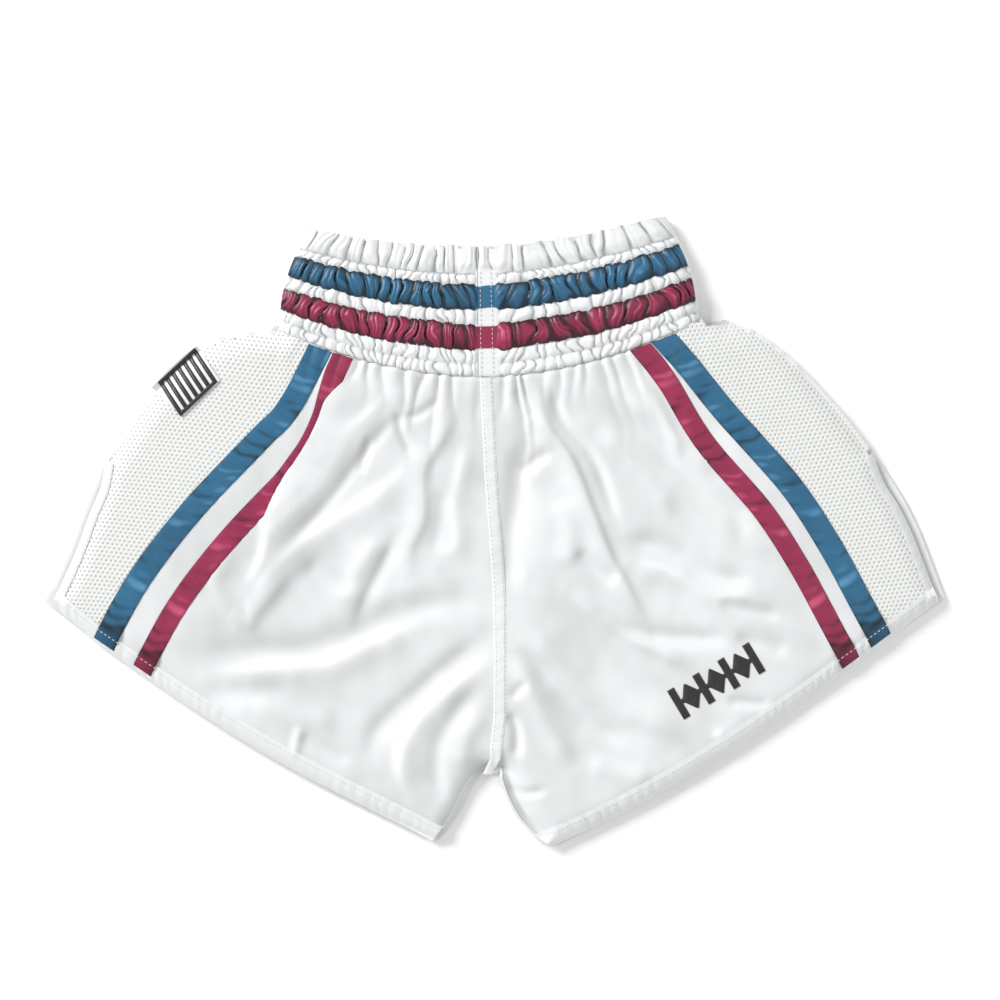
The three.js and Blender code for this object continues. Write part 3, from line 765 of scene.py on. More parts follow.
def stitch_tree(finish):
    """Thread stitches set along every edge of a mesh of lines."""
    tree, given = node_group("stitch row", ("Pitch", "Stitch Length", "Stitch Width"))
    line = node(tree, "GeometryNodeMeshToCurve", links={"Mesh": given.outputs["Geometry"]})
    spaced = node(tree, "GeometryNodeResampleCurve", {"mode": "LENGTH"},
                  {"Curve": line.outputs[0], "Length": given.outputs["Pitch"]})
    tangent = node(tree, "GeometryNodeInputTangent")
    turned = node(tree, "FunctionNodeAlignRotationToVector", {"axis": "X"}, {"Vector": tangent.outputs[0]})
    bead = node(tree, "GeometryNodeMeshUVSphere", {"Segments": 6, "Rings": 4, "Radius": 0.5})
    size = node(tree, "ShaderNodeCombineXYZ", links={
        "X": given.outputs["Stitch Length"], "Y": given.outputs["Stitch Width"],
        "Z": given.outputs["Stitch Width"]})
    placed = node(tree, "GeometryNodeInstanceOnPoints", links={
        "Points": spaced.outputs[0], "Instance": bead.outputs["Mesh"],
        "Rotation": turned.outputs[0], "Scale": size.outputs[0]})
    real = node(tree, "GeometryNodeRealizeInstances", links={"Geometry": placed.outputs[0]})
    done = node(tree, "GeometryNodeSetMaterial", {"Material": finish}, {"Geometry": real.outputs[0]})
    node(tree, "NodeGroupOutput", links={"Geometry": done.outputs[0]})
    return tree


def mesh_tree(finish):
    """Turns a triangle lattice into a knitted mesh: a hole in each six-sided cell, sunk like a funnel."""
    tree, given = node_group("hexagonal mesh", ("Hole Share", "Thickness"))
    cells = node(tree, "GeometryNodeDualMesh", {"Keep Boundaries": True},
                 {"Mesh": given.outputs["Geometry"]})
    inset = node(tree, "GeometryNodeExtrudeMesh", {
        "mode": "FACES", "Offset Scale": 0.0, "Individual": True}, {"Mesh": cells.outputs[0]})
    rim = node(tree, "GeometryNodeScaleElements", {"domain": "FACE", "Scale": 0.74}, {
        "Geometry": inset.outputs["Mesh"], "Selection": inset.outputs["Top"]})
    sink = node(tree, "ShaderNodeMath", {"operation": "MULTIPLY", 1: -0.8}, {0: given.outputs["Thickness"]})
    down = node(tree, "ShaderNodeCombineXYZ", links={"Z": sink.outputs[0]})
    funnel = node(tree, "GeometryNodeExtrudeMesh", {"mode": "FACES", "Individual": True}, {
        "Mesh": rim.outputs[0], "Selection": inset.outputs["Top"], "Offset": down.outputs[0]})
    shrunk = node(tree, "GeometryNodeScaleElements", {"domain": "FACE"}, {
        "Geometry": funnel.outputs["Mesh"], "Selection": funnel.outputs["Top"],
        "Scale": given.outputs["Hole Share"]})
    open_mesh = node(tree, "GeometryNodeDeleteGeometry", {"domain": "FACE"}, {
        "Geometry": shrunk.outputs[0], "Selection": funnel.outputs["Top"]})
    welded = node(tree, "GeometryNodeMergeByDistance", {"Distance": 0.00001},
                  {"Geometry": open_mesh.outputs[0]})
    up = node(tree, "ShaderNodeCombineXYZ", links={"Z": given.outputs["Thickness"]})
    raised = node(tree, "GeometryNodeExtrudeMesh", {"mode": "FACES", "Individual": False}, {
        "Mesh": welded.outputs[0], "Offset": up.outputs[0]})
    under = node(tree, "GeometryNodeFlipFaces", links={"Mesh": welded.outputs[0]})
    both = node(tree, "GeometryNodeJoinGeometry")
    tree.links.new(raised.outputs["Mesh"], both.inputs[0])
    tree.links.new(under.outputs[0], both.inputs[0])
    closed = node(tree, "GeometryNodeMergeByDistance", {"Distance": 0.00001}, {"Geometry": both.outputs[0]})
    real = node(tree, "GeometryNodeRealizeInstances", links={"Geometry": closed.outputs[0]})
    done = node(tree, "GeometryNodeSetMaterial", {"Material": finish}, {"Geometry": real.outputs[0]})
    node(tree, "NodeGroupOutput", links={"Geometry": done.outputs[0]})
    return tree


TREES = {}


def through_nodes(name, source, maker, finish, sizes):
    """Runs a mesh through a geometry tree with its sizes, and keeps the result as a plain mesh."""
    if maker not in TREES:
        TREES[maker] = maker(finish)
    base = add_object(name + "_base", source)
    modifier = base.modifiers.new("made by nodes", "NODES")
    modifier.node_group = TREES[maker]
    for socket in TREES[maker].interface.items_tree:
        if socket.in_out == "INPUT" and socket.name in sizes:
            modifier[socket.identifier] = sizes[socket.name]
    bpy.context.view_layer.update()
    graph = bpy.context.evaluated_depsgraph_get()
    result = bpy.data.meshes.new_from_object(base.evaluated_get(graph))
    result.name = name
    bpy.data.objects.remove(base)
    bpy.data.meshes.remove(source)
    if not result.materials:
        result.materials.append(finish)
    return add_object(name, result)


def stitch_rows(name, lines, finish, sizes, width=0.55):
    mesh = bpy.data.meshes.new(name)
    points, edges = [], []
    for line in lines:
        start = len(points)
        points += line.tolist()
        edges += [(start + i, start + i + 1) for i in range(len(line) - 1)]
    mesh.from_pydata(points, edges, [])
    return through_nodes(name, mesh, stitch_tree, finish, {
        "Pitch": sizes.stitch_pitch, "Stitch Length": sizes.stitch_length, "Stitch Width": width * MM})


def within(points, loop):
    """Which points lie inside a closed outline, in plan."""
    x, y = points[..., 0], points[..., 1]
    inside = np.zeros(x.shape, bool)
    for a, b in zip(loop, np.roll(loop, -1, 0)):
        crosses = (a[1] > y) != (b[1] > y)
        if a[1] != b[1]:
            inside ^= crosses & (x < a[0] + (y - a[1]) * (b[0] - a[0]) / (b[1] - a[1]))
    return inside


def mesh_lattice(name, loop, pitch, direction, spread, binding, level):
    """Triangles in staggered rows along a direction, over an outline widened by spread and under the
    binding of its edge."""
    ahead = np.array([math.cos(direction), math.sin(direction)])
    aside = np.array([-ahead[1], ahead[0]])
    middle = (loop.min(0) + loop.max(0))[:2] / 2
    half = int(0.22 / pitch)
    i, j = np.meshgrid(np.arange(-half, half), np.arange(-half, half))
    along, across = (i + 0.5 * (j % 2)) * pitch, j * pitch * math.sqrt(3) / 2
    flat = middle + along[..., None] * ahead + across[..., None] * aside
    bow = 3.0 * MM * noise(flat[..., 0] / 0.05, flat[..., 1] / 0.05, 71)
    flat = flat + bow[..., None] * aside
    beyond = distance(flat, np.vstack([loop, loop[:1]]))[0]
    under_band = np.min([distance(flat, WAIST_SEAM[s])[0] for s in SIDES], axis=0) < 6 * MM
    kept = within(flat, loop) | (beyond < spread) | (under_band & (beyond < 3 * spread))
    kept |= within(flat, binding) & (beyond < 2.3 * spread)
    number = np.full(kept.shape, -1)
    number[kept] = np.arange(kept.sum())
    points = flat[kept]
    faces = []
    for r in range(kept.shape[0] - 1):
        odd = j[r, 0] % 2
        a, b = number[r, :-1], number[r, 1:]
        c, d = number[r + 1, :-1], number[r + 1, 1:]
        pairs = ((a, b, d), (a, d, c)) if odd else ((a, b, c), (b, d, c))
        for three in pairs:
            three = np.stack(three, -1)
            faces += three[(three >= 0).all(1)].tolist()
    solid = np.column_stack([points, level(points)])
    mesh = bpy.data.meshes.new(name)
    mesh.from_pydata(solid.tolist(), [], faces)
    loose = bmesh.new()
    loose.from_mesh(mesh)
    bmesh.ops.delete(loose, geom=[v for v in loose.verts if not v.link_faces], context="VERTS")
    loose.to_mesh(mesh)
    loose.free()
    return mesh


# ---------------------------------------------------------------- the add-on


def length_property(name, description, default):
    return bpy.props.FloatProperty(name=name, description=description, default=default, unit="LENGTH")


def share_property(name, description, default):
    return bpy.props.FloatProperty(name=name, description=description, default=default, subtype="FACTOR")


def colour_property(name, description, code):
    return bpy.props.FloatVectorProperty(
        name=name, description=description, default=linear(code), size=3, min=0.0, max=1.0, subtype="COLOR")


class ShortsSizes(bpy.types.PropertyGroup):
    """Sizes and colours that a maker would change."""
    stitch_pitch: length_property("Stitch pitch", "Distance from one stitch to the next", 3.0 * MM)
    stitch_length: length_property("Stitch length", "Length of thread that shows", 2.1 * MM)
    mesh_pitch: length_property("Mesh pitch", "Distance between holes in the mesh", 3.1 * MM)
    hole_share: share_property("Hole share", "Width of a hole's foot as a share of its rim", 0.3)
    cloth: length_property("Satin thickness", "Thickness of the satin", 0.6 * MM)
    fold_depth: share_property("Fold depth", "How deep the folds of the leg panels are", 1.0)
    grid: length_property("Cloth grid", "Distance between points of the front panels", 1.6 * MM)
    white: colour_property("White satin", "Colour of the leg panels and waistband", "#E4E6E7")
    blue: colour_property("Blue satin", "Colour of the blue tapes and ribbons", "#2C688B")
    crimson: colour_property("Crimson satin", "Colour of the crimson tapes and ribbons", "#9A2A50")
    mesh_white: colour_property("Mesh", "Colour of the knitted side panels", "#E0E2DF")
    elastic_white: colour_property("Elastic", "Colour of the elastics in the waistband", "#E6E5E0")
    black: colour_property("Embroidery", "Colour of the badge's bars and the leg motif", "#1B1B1D")
    thread_white: colour_property("Sewing thread", "Colour of the stitches", "#DEDEDC")


class ShortsOperator(bpy.types.Operator):
    """Shared settings of the operators that make the pieces."""
    bl_options = {"REGISTER", "UNDO"}

    @property
    def sizes(self):
        return bpy.context.scene.boxing_shorts


def fold_over(grid, side_line, flat_distance):
    """The soft fold that hangs over the left crimson tape: it leans out over the tape and back under."""
    gap, along = distance(grid, side_line)
    share = along / lengths(side_line)[-1]
    spot_x = np.interp(share, np.linspace(0, 1, len(side_line)), side_line[:, 0])
    inboard = np.where(grid[..., 0] > spot_x, gap, -gap) / MM
    amount = smoothstep(share, 0.0, 0.16) * (1 - smoothstep(share, 0.34, 0.58))
    crest, steep, gentle = 6.5, 4.2, 7.5
    beyond = (inboard - crest) / np.where(inboard < crest, steep, gentle)
    out = flat_distance / MM * np.exp(-beyond ** 2)
    lift = 1.35 * smoothstep(inboard, -0.5, 2.0) * (1 - smoothstep(inboard, 8, 22))
    lift = lift + 1.3 * np.exp(-((inboard - 11) / 5.5) ** 2)
    way = np.gradient(side_line[:, :2], axis=0)
    normal = np.array([-(way[-1] + way[0])[1], (way[-1] + way[0])[0]])
    normal = normal / np.linalg.norm(normal)
    if normal[0] > 0:
        normal = -normal
    return (out * amount)[..., None] * normal * MM, lift * amount * MM


# Gain of the painted slope shade on each leg panel, and its level where the surface is flat: below 0.5, so
# some of the shadow colour is mixed in everywhere, which darkens the panels and front vent edges evenly.
PANEL_SHADE = {"left": 0.28, "right": 0.38}
PANEL_TONE = 0.43


class SHORTS_OT_front_panels(ShortsOperator):
    """The two satin leg panels of the front, with their folds and the gathers under the waist seam"""
    bl_idname = "shorts.front_panels"
    bl_label = "Front Satin Panels"

    def execute(self, context):
        for side in SIDES:
            edges = four_sides(f"front_satin_panel_{side}")
            grid = patch(edges, int(0.205 / self.sizes.grid), int(0.262 / self.sizes.grid))
            under_strip = np.clip(1 - (np.abs(grid[..., 0]) - 5.3 * MM) / (12 * MM), 0, 1)
            above_crotch = smoothstep(grid[..., 1], -158 * MM, -150 * MM)
            grid[..., 0] -= SIGN[side] * 3.9 * MM * under_strip * above_crotch
            grid = lean(grid)
            tuck = grid[0] - grid[1]
            grid[0] += tuck / np.linalg.norm(tuck, axis=1)[:, None] * 1.6 * MM
            height = front_top(grid, side, self.sizes.fold_depth)
            height[0] -= 1.6 * MM
            if side == "left":
                line = smooth_line(four_sides("front_crimson_tape_left", inner_by="y")["inner"], 40)
                shift, lift = fold_over(grid, line, 15 * MM)
                grid[..., :2] += shift
                height = height + lift
            shade = painted_slope_shade(grid, side, self.sizes.fold_depth, PANEL_SHADE[side])
            piece = white_shell(f"satin_front_{side}", grid, height, height - self.sizes.cloth,
                                f"front_satin_panel_{side}", shade)
            sewn_on = [f"hem_front_{side}", f"hem_stitches_{side}", f"inseam_roll_{side}"]
            if side == "right":
                sewn_on += ["placket_strip", "leg_motif_embroidery"]
            declare(piece, grid)
        return {"FINISHED"}


class SHORTS_OT_back_panels(ShortsOperator):
    """The two satin leg panels of the back, which lie nearly flat on the floor"""
    bl_idname = "shorts.back_panels"
    bl_label = "Back Satin Panels"

    def execute(self, context):
        for side in SIDES:
            grid = patch(four_sides(f"back_satin_panel_{side}", up=False), 84, 108)
            x, y = grid[..., 0] / MM, grid[..., 1] / MM
            rise = 1.0 + 0.5 * noise(x / 26, y / 34, 13) + 0.25 * noise(x / 9, y / 13, 14)
            base = np.clip(rise, 0.75, None) * MM
            piece = white_shell(f"satin_back_{side}", grid, base + self.sizes.cloth, base,
                                f"back_satin_panel_{side}")
            declare(piece, grid)
        return {"FINISHED"}


class SHORTS_OT_mesh_panels(ShortsOperator):
    """The knitted mesh side panels, front and back"""
    bl_idname = "shorts.mesh_panels"
    bl_label = "Mesh Side Panels"

    def execute(self, context):
        finish = material("white_mesh")
        for layer in ("front", "back"):
            for side in SIDES:
                loop = outline(f"{layer}_mesh_panel_{side}", layer == "front")

                def level(points, side=side, layer=layer):
                    if layer == "front":
                        return front_top(points, side, MESH_DEPTH) - 0.6 * MM
                    return 1.3 * MM + 0.2 * MM * noise(points[:, 0] / 0.03, points[:, 1] / 0.03, 15)

                name = f"mesh_{layer}_{side}"
                way = math.radians(54 if side == "left" else 127)
                pitch = self.sizes.mesh_pitch
                binding = outline(f"{layer}_vent_edge_{side}", layer == "front")
                lattice_mesh = mesh_lattice(name, loop, pitch, way, 1.8 * MM, binding, level)
                piece = through_nodes(name, lattice_mesh, mesh_tree, finish, {
                    "Hole Share": self.sizes.hole_share, "Thickness": 0.4 * MM})
                attach(piece, (f"{layer}_mesh_panel_{side}",))
                sewn_on = [f"vent_edge_{layer}_{side}"]
                if layer == "front":
                    sewn_on.append(f"side_seam_roll_{side}")
                    sewn_on += ["badge"] * (side == "left")
        return {"FINISHED"}


TAPE_LENGTH = 235


class SHORTS_OT_tapes(ShortsOperator):
    """The blue and crimson satin tapes down the legs, front and back"""
    bl_idname = "shorts.tapes"
    bl_label = "Leg Tapes"

    def execute(self, context):
        for name, finish in ((BLUE_TAPE, "blue_satin"), (CRIMSON_TAPE, "crimson_satin")):
            for side in SIDES:
                for layer in ("front", "back"):
                    grid = patch(four_sides(f"{layer}_{name}_{side}", layer == "front", "y"), 18, 190)
                    rows, columns = grid.shape[:2]
                    u = np.linspace(0, 1, columns)[None]
                    down = np.linspace(0, 1, rows)[:, None] * TAPE_LENGTH
                    slanted = down + 6 * (u - 0.5) * noise(down / 26, u * 0, 86)
                    slanted = slanted + 3 * noise(down / 30, u * 1.5, 81)
                    pucker = (pleats(slanted, 9, 82, 1.0) - 0.5) * 0.5
                    strength = np.clip(1.2 * noise(down / 17, u * 1.1, 83) + 0.35, 0, 1)
                    pucker = pucker * (0.42 + 0.58 * strength)
                    edge = 0.28 * (2 * np.abs(u - 0.5)) ** 6
                    # Painted shade and highlight across the puckers, painted shade towards the hem end and
                    # along both edges, with random variation.
                    shade = 0.6 + 1.35 * pucker + 0.24 * noise(down / 15 + u * 0.5, u * 0.7, 84)
                    shade = shade - 0.3 * smoothstep(down, 205, 232) + 0.14 * noise(down / 5, u * 1.5, 85)
                    shade = shade - 0.35 * (2 * np.abs(u - 0.5)) ** 12
                    if layer == "front":
                        over_hem = 1.25 * smoothstep(down, 219, 226)
                        height = front_top(grid, side, TAPE_DEPTH) + (0.62 + pucker - edge + over_hem) * MM
                        top, low = lifted(grid, height), lifted(grid, height - 0.45 * MM)
                    else:
                        top = lifted(grid, np.full(grid.shape[:2], 0.68 * MM))
                        low = lifted(grid, (0.22 + 0.2 * (pucker + 0.17)) * MM)
                    piece = shell(f"{name}_{layer}_{side}", top, low, material(finish),
                                  crease=shade + 0 * grid[..., 0])
                    attach(piece, (f"{layer}_{name}_{side}",))
                    declare(piece, grid)
        return {"FINISHED"}


HEM_PUCKERS = {"left": 0.8, "right": 1.2}
HEM_LENGTH = {"left": 300, "right": 315}


def hem_grid(layer, side):
    grid = patch(four_sides(f"{layer}_hem_{side}", layer == "front"), 210, 9)
    lap = grid[0] - grid[1]
    grid[0] += lap / np.linalg.norm(lap, axis=1)[:, None] * 1.3 * MM
    return lean(grid) if layer == "front" else grid


def hem_top(grid, side, puckers):
    """The front hem's upper surface: a soft roll, drawn into slanting puckers by its stitching, and a
    painted shade value that is darker in the puckers' hollows and lighter on their ridges.
    """
    rows, columns = grid.shape[:2]
    u = np.linspace(0, 1, columns)[None]
    v = np.linspace(0, 1, rows)[:, None]
    s = u * HEM_LENGTH[side]
    strength = puckers * np.clip(0.45 + 0.8 * noise(u * 9, v * 0, 91), 0.1, 1.2)
    ripple = (pleats(s + 5.5 * v + 2 * noise(s / 14, v * 2, 92), 7.5, 93, 0.8) - 0.5) * 1.7 * strength
    roll = 0.55 * np.sin(np.pi * np.clip(v * 0.93 + 0.07, 0, 1)) ** 0.6
    rise = 0.45 + roll + ripple * np.sin(np.pi * v) ** 0.5 - 0.5 * v ** 4
    return front_top(grid, side, 0.6) + rise * MM, 0.62 + 0.35 * ripple


class SHORTS_OT_hems(ShortsOperator):
    """The folded leg hems, front and back"""
    bl_idname = "shorts.hems"
    bl_label = "Leg Hems"

    def execute(self, context):
        for side in SIDES:
            grid = hem_grid("front", side)
            height, shade = hem_top(grid, side, HEM_PUCKERS[side])
            white_shell(f"hem_front_{side}", grid, height, height - 1.2 * MM, f"front_hem_{side}", shade)
            grid = hem_grid("back", side)
            v = np.linspace(0, 1, grid.shape[0])[:, None] + 0 * grid[..., 0]
            swell = 0.35 * np.sin(np.pi * v) ** 0.6
            white_shell(f"hem_back_{side}", grid, (2.2 + swell) * MM, (0.9 - swell) * MM,
                        f"back_hem_{side}")
        return {"FINISHED"}


class SHORTS_OT_vent_edges(ShortsOperator):
    """The bound edges of the side vents"""
    bl_idname = "shorts.vent_edges"
    bl_label = "Vent Edges"

    def execute(self, context):
        for side in SIDES:
            for layer in ("front", "back"):
                grid = patch(four_sides(f"{layer}_vent_edge_{side}", layer == "front", "y"), 8, 70)
                u = np.linspace(0, 1, grid.shape[1])[None] + 0 * grid[..., 0]
                s = np.linspace(0, 95, grid.shape[0])[:, None]
                ripple = 0.25 * (pleats(s + 2 * u, 7, 95, 1.0) - 0.5)
                swell = 0.5 * np.sin(np.pi * u) ** 0.6
                if layer == "front":
                    high = front_top(grid, side, VENT_DEPTH) + (0.35 + swell + ripple) * MM
                    # The front vent edges take the leg panels' flat painted shade level.
                    low, shade = high - 1.2 * MM, PANEL_TONE + 0 * u
                else:
                    high, low, shade = (2.2 + 0.6 * swell + ripple) * MM, (0.9 - 0.5 * swell) * MM, None
                white_shell(f"vent_edge_{layer}_{side}", grid, high, low,
                            f"{layer}_vent_edge_{side}", shade)
        return {"FINISHED"}


class SHORTS_OT_waistband(ShortsOperator):
    """The gathered satin casing of the waistband, with its ruffled top edge"""
    bl_idname = "shorts.waistband"
    bl_label = "Waistband Casing"

    def execute(self, context):
        for side in SIDES:
            s, h = span(side, 0.62, 0, BAND_TOP, 0.9)
            top = band_surface(side, s, h)
            low = top.copy()
            low[..., 2] -= self.sizes.cloth
            # Painted shade in the pleats' valleys and a painted highlight on their crowns, a little lighter
            # overall.
            shade = 0.03 + gathers(side, s, h)[2]
            piece = shell(f"waistband_front_{side}", top, low, material("white_satin"), crease=shade)
            attach(piece, (f"front_waistband_{side}",))
            declare(piece, top, 1.5)
            s, h = span(side, 0.9, 0, BAND_TOP, 1.3)
            level_side = np.array([0, 0, SIDE_DROP]) * near_side(side, s)[..., None] ** 2
            outer = upside_down(band_surface(side, s, h, BACK_SEED) + level_side, 0.55 * MM)
            outer[..., :2] = band_point(side, s, h)[..., :2]
            inner = lifted(outer, outer[..., 2] + self.sizes.cloth)
            piece = shell(f"waistband_back_{side}", inner, outer, material("white_satin"))
            attach(piece, (f"back_waistband_{side}",))
            declare(piece, outer, 1.3)
        return {"FINISHED"}


class SHORTS_OT_ribbons(ShortsOperator):
    """The blue and crimson ribbons round the waistband, puffed between their stitched edges"""
    bl_idname = "shorts.ribbons"
    bl_label = "Waistband Ribbons"

    def execute(self, context):
        for name, k, finish in (("crimson_ribbon", 2, "crimson_satin"), ("blue_ribbon", 4, "blue_satin")):
            low_row, high_row = ROWS[k], ROWS[k + 1]
            for side in SIDES:
                s, h = span(side, 0.5, low_row - 0.7, high_row + 0.7, 0.62)
                t = (h - low_row) / (high_row - low_row)
                inner_h = np.clip(h, low_row + 0.25, high_row - 0.25)
                crowns = gathers(side, s, np.full(h.shape, (low_row + high_row) / 2))[1]
                spread = (t - 0.5) * 2 * (2.3 * crowns - 1.45) + 0.7 * noise(s / 8, s * 0 + k, 63)
                # Painted shade in the ribbons' pleat valleys and a painted highlight on their crowns, given
                # more contrast below.
                shade = gathers(side, s, inner_h)[2] * (0.94 + 0.12 * noise(s / 3, h / 5, 62))
                top = band_surface(side, s, inner_h)
                top[..., :2] = lean(band_point(side, s, h + spread))[..., :2]
                under = band_surface(side, s, np.clip(h + spread, 0, BAND_TOP))[..., 2]
                top[..., 2] = np.maximum(top[..., 2], under - 0.1 * MM)
                shade = 0.6 + 1.45 * (shade - 0.63)
                top[..., 2] += (0.42 + 0.9 * near_side(side, s, 12)) * MM
                low = lifted(top, top[..., 2] - 0.35 * MM)
                piece = shell(f"{name}_front_{side}", top, low, material(finish), crease=shade)
                attach(piece, (f"front_{name}_{side}",))
                declare(piece, top, 1.4)
                s, h = span(side, 0.9, low_row, high_row, 1.0)
                outer = band_point(side, s, h)
                outer[..., 2] = (0.55 - 0.5 * gathers(side, s, h, BACK_SEED)[0] / 2.5) * MM
                outer[..., 2] = np.clip(outer[..., 2], 0.02 * MM, None)
                piece = shell(f"{name}_back_{side}", lifted(outer, outer[..., 2] + 0.3 * MM), outer,
                              material(finish))
                attach(piece, (f"back_{name}_{side}",))
                declare(piece, outer, 1.3)
        return {"FINISHED"}


def box_corners(name):
    """The corners of a straight piece in plan: top left, top right, bottom right, bottom left."""
    lo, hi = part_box(name)
    return (lo.x, hi.y), (hi.x, hi.y), (hi.x, lo.y), (lo.x, lo.y)


def placket_grid():
    edges = four_sides("centre_front_placket", hints=box_corners("centre_front_placket"))
    return patch(edges, 8, 190)


def placket_top(grid):
    rows, columns = grid.shape[:2]
    u = np.linspace(-1, 1, columns)[None]
    down = np.linspace(0, 258, rows)[:, None]
    twist = smoothstep(down, 236, 258)
    narrow = 0.40 + 0.42 * (1 - 0.5 * twist)
    moved = grid.copy()
    centre = grid[..., 0].mean(axis=1, keepdims=True)
    moved[..., 0] = centre + (grid[..., 0] - centre) * narrow
    moved = lean(moved)
    level = np.maximum(front_top(moved, "right", 0.8), front_top(moved, "left", 0.8))
    pucker = 0.22 * (pleats(down + 2 * u, 9, 97, 1.0) - 0.5)
    moved[..., 2] = level + (0.55 + pucker - 0.45 * np.abs(u) ** 5) * MM
    return moved


class SHORTS_OT_centre_strips(ShortsOperator):
    """The stitched strip down the centre of the front, and the seam down the centre of the back"""
    bl_idname = "shorts.centre_strips"
    bl_label = "Centre Strips"

    def execute(self, context):
        top = placket_top(placket_grid())
        white_shell("placket_strip", top, top[..., 2], top[..., 2] - 0.9 * MM, "centre_front_placket")
        edges = four_sides("centre_back_seam", up=False, hints=box_corners("centre_back_seam"))
        grid = patch(edges, 6, 60)
        white_shell("back_seam", grid, 2.5 * MM, 0.6 * MM, "centre_back_seam")
        return {"FINISHED"}


ROLL_THICKNESS = 0.6 * MM


def edge_roll(name, line, high, low, bulge, outward, node_name, turns=9):
    """A rounded strip of white satin that closes an edge from the front layer down to the back one."""
    way = np.gradient(line[:, :2], axis=0)
    normal = np.stack([way[:, 1], -way[:, 0]], -1)
    normal /= np.linalg.norm(normal, axis=1)[:, None]
    if (normal * outward).sum() < 0:
        normal = -normal
    angle = np.linspace(-math.pi / 2, math.pi / 2, turns)[None]
    middle, half = (high + low)[:, None] / 2, (high - low)[:, None] / 2
    layers = []
    for inset in (0, ROLL_THICKNESS):
        out = (bulge - inset) * np.cos(angle) - 1.2 * MM
        plan = line[:, None, :2] + normal[:, None] * out[..., None]
        level = middle - (half - inset) * np.sin(angle)
        layers.append(np.concatenate([plan, (level + 0 * out)[..., None]], -1))
    piece = shell(name, layers[0], layers[1], material("white_satin"), 70)
    mesh = bmesh.new()
    mesh.from_mesh(piece.data)
    bmesh.ops.recalc_face_normals(mesh, faces=mesh.faces)
    mesh.to_mesh(piece.data)
    mesh.free()
    return attach(piece, (node_name,))


class SHORTS_OT_side_seams(ShortsOperator):
    """The seams that join front and back at the sides, the waistband and the inner legs"""
    bl_idname = "shorts.side_seams"
    bl_label = "Seams"

    def execute(self, context):
        for side in SIDES:
            outward = np.array([SIGN[side], 0.6])
            loop = outline(f"front_mesh_panel_{side}")
            top = int(np.argmax(loop[:, 1]))
            vent = four_sides(f"front_vent_edge_{side}", inner_by="y")["top"][-1]
            foot = int(np.argmin(np.hypot(*(loop[:, :2] - vent[:2]).T)))
            far = int(np.argmax(np.abs(loop[:, 0])))
            low_inner = int(np.argmin(loop[:, 1]))
            line = smooth_line(stretch_between(loop, top, foot, (far, low_inner)), 90)
            high = front_top(line, side, VENT_DEPTH) + 0.3 * MM
            edge_roll(f"side_seam_roll_{side}", line, high, 0.7 * MM, 3.4 * MM, outward,
                      f"side_seam_{side}")
            h = np.linspace(85.5, 0.5, 120)
            s = np.full(h.shape, BAND_WIDTH[side])
            line = band_surface(side, s, h)
            edge_roll(f"band_seam_roll_{side}", line, line[:, 2] + 0.5 * MM, 0.7 * MM, 3.2 * MM,
                      np.array([SIGN[side], 0]), f"waistband_side_seam_{side}")
            inner = four_sides(f"front_satin_panel_{side}")["inner"]
            line = smooth_line(inner[inner[:, 1] < -0.150], 50)
            high = front_top(lean(line), side, 0.5) + 0.2 * MM
            edge_roll(f"inseam_roll_{side}", lean(line), high, 0.8 * MM, 1.9 * MM,
                      np.array([-SIGN[side], 0]), f"inseam_{side}")
        return {"FINISHED"}


# Heights of the elastics' lower edges up the band, and their width, in mm.
ELASTIC_FEET = (5, 22, 48, 62)
ELASTIC_WIDTH = 8


def inner_loop(side, low, high, front, back, step=1.6):
    """A strip inside the waistband: along the front, round the side and back along the back."""
    reach = BAND_WIDTH[side] - 3.5
    s = np.linspace(0.4, reach, int(reach / step))
    h = np.linspace(high, low, max(int((high - low) / 2), 4))
    out, up = np.meshgrid(s, h)
    ahead = band_point(side, out, up)
    drop = SIDE_DROP * near_side(side, out) ** 2
    ahead[..., 2] = front - drop + 0.12 * MM * noise(out / 3, up / 9, 99)
    behind = ahead[:, ::-1].copy()
    behind[..., 2] = back
    outward = np.array([SIGN[side] * 1.3 * MM, 0, 0])
    turn = [ahead[:, -1:] * (1 - t) + behind[:, :1] * t + outward * math.sin(math.pi * t)
            for t in (0.2, 0.4, 0.6, 0.8)]
    return np.concatenate([ahead, *turn, behind], axis=1)


class SHORTS_OT_elastics(ShortsOperator):
    """The four elastic bands and the lining inside the waistband"""
    bl_idname = "shorts.elastics"
    bl_label = "Elastics and Lining"

    def execute(self, context):
        for side in SIDES:
            for number, foot in enumerate(ELASTIC_FEET, 1):
                inside_strip(f"elastic_{number}_{side}", side, foot, foot + ELASTIC_WIDTH, 12.4 * MM,
                             4.2 * MM, 0.7 * MM, "woven_elastic", f"waist_elastic_{number}_{side}")
            piece, outer = inside_strip(f"lining_{side}", side, 0.5, 72, 11.4 * MM, 5.4 * MM, 0.5 * MM,
                                        "white_satin", f"waist_lining_{side}")
            declare(piece, outer[:, :outer.shape[1] // 2], 2.0)
        return {"FINISHED"}


def inside_strip(name, side, low, high, front, back, thickness, slot, node_name):
    """An elastic or a lining inside the waistband, with the grid of its outer face."""
    outer = inner_loop(side, low, high, front, back)
    inner = inner_loop(side, low, high, front - thickness, back + thickness)
    turning = (inner[..., 2] < front - 0.4 * MM) * (inner[..., 2] > back + thickness + 0.3 * MM)
    inner[..., 0] -= 0.3 * MM * SIGN[side] * turning
    return attach(shell(name, outer, inner, material(slot)), (node_name,)), outer


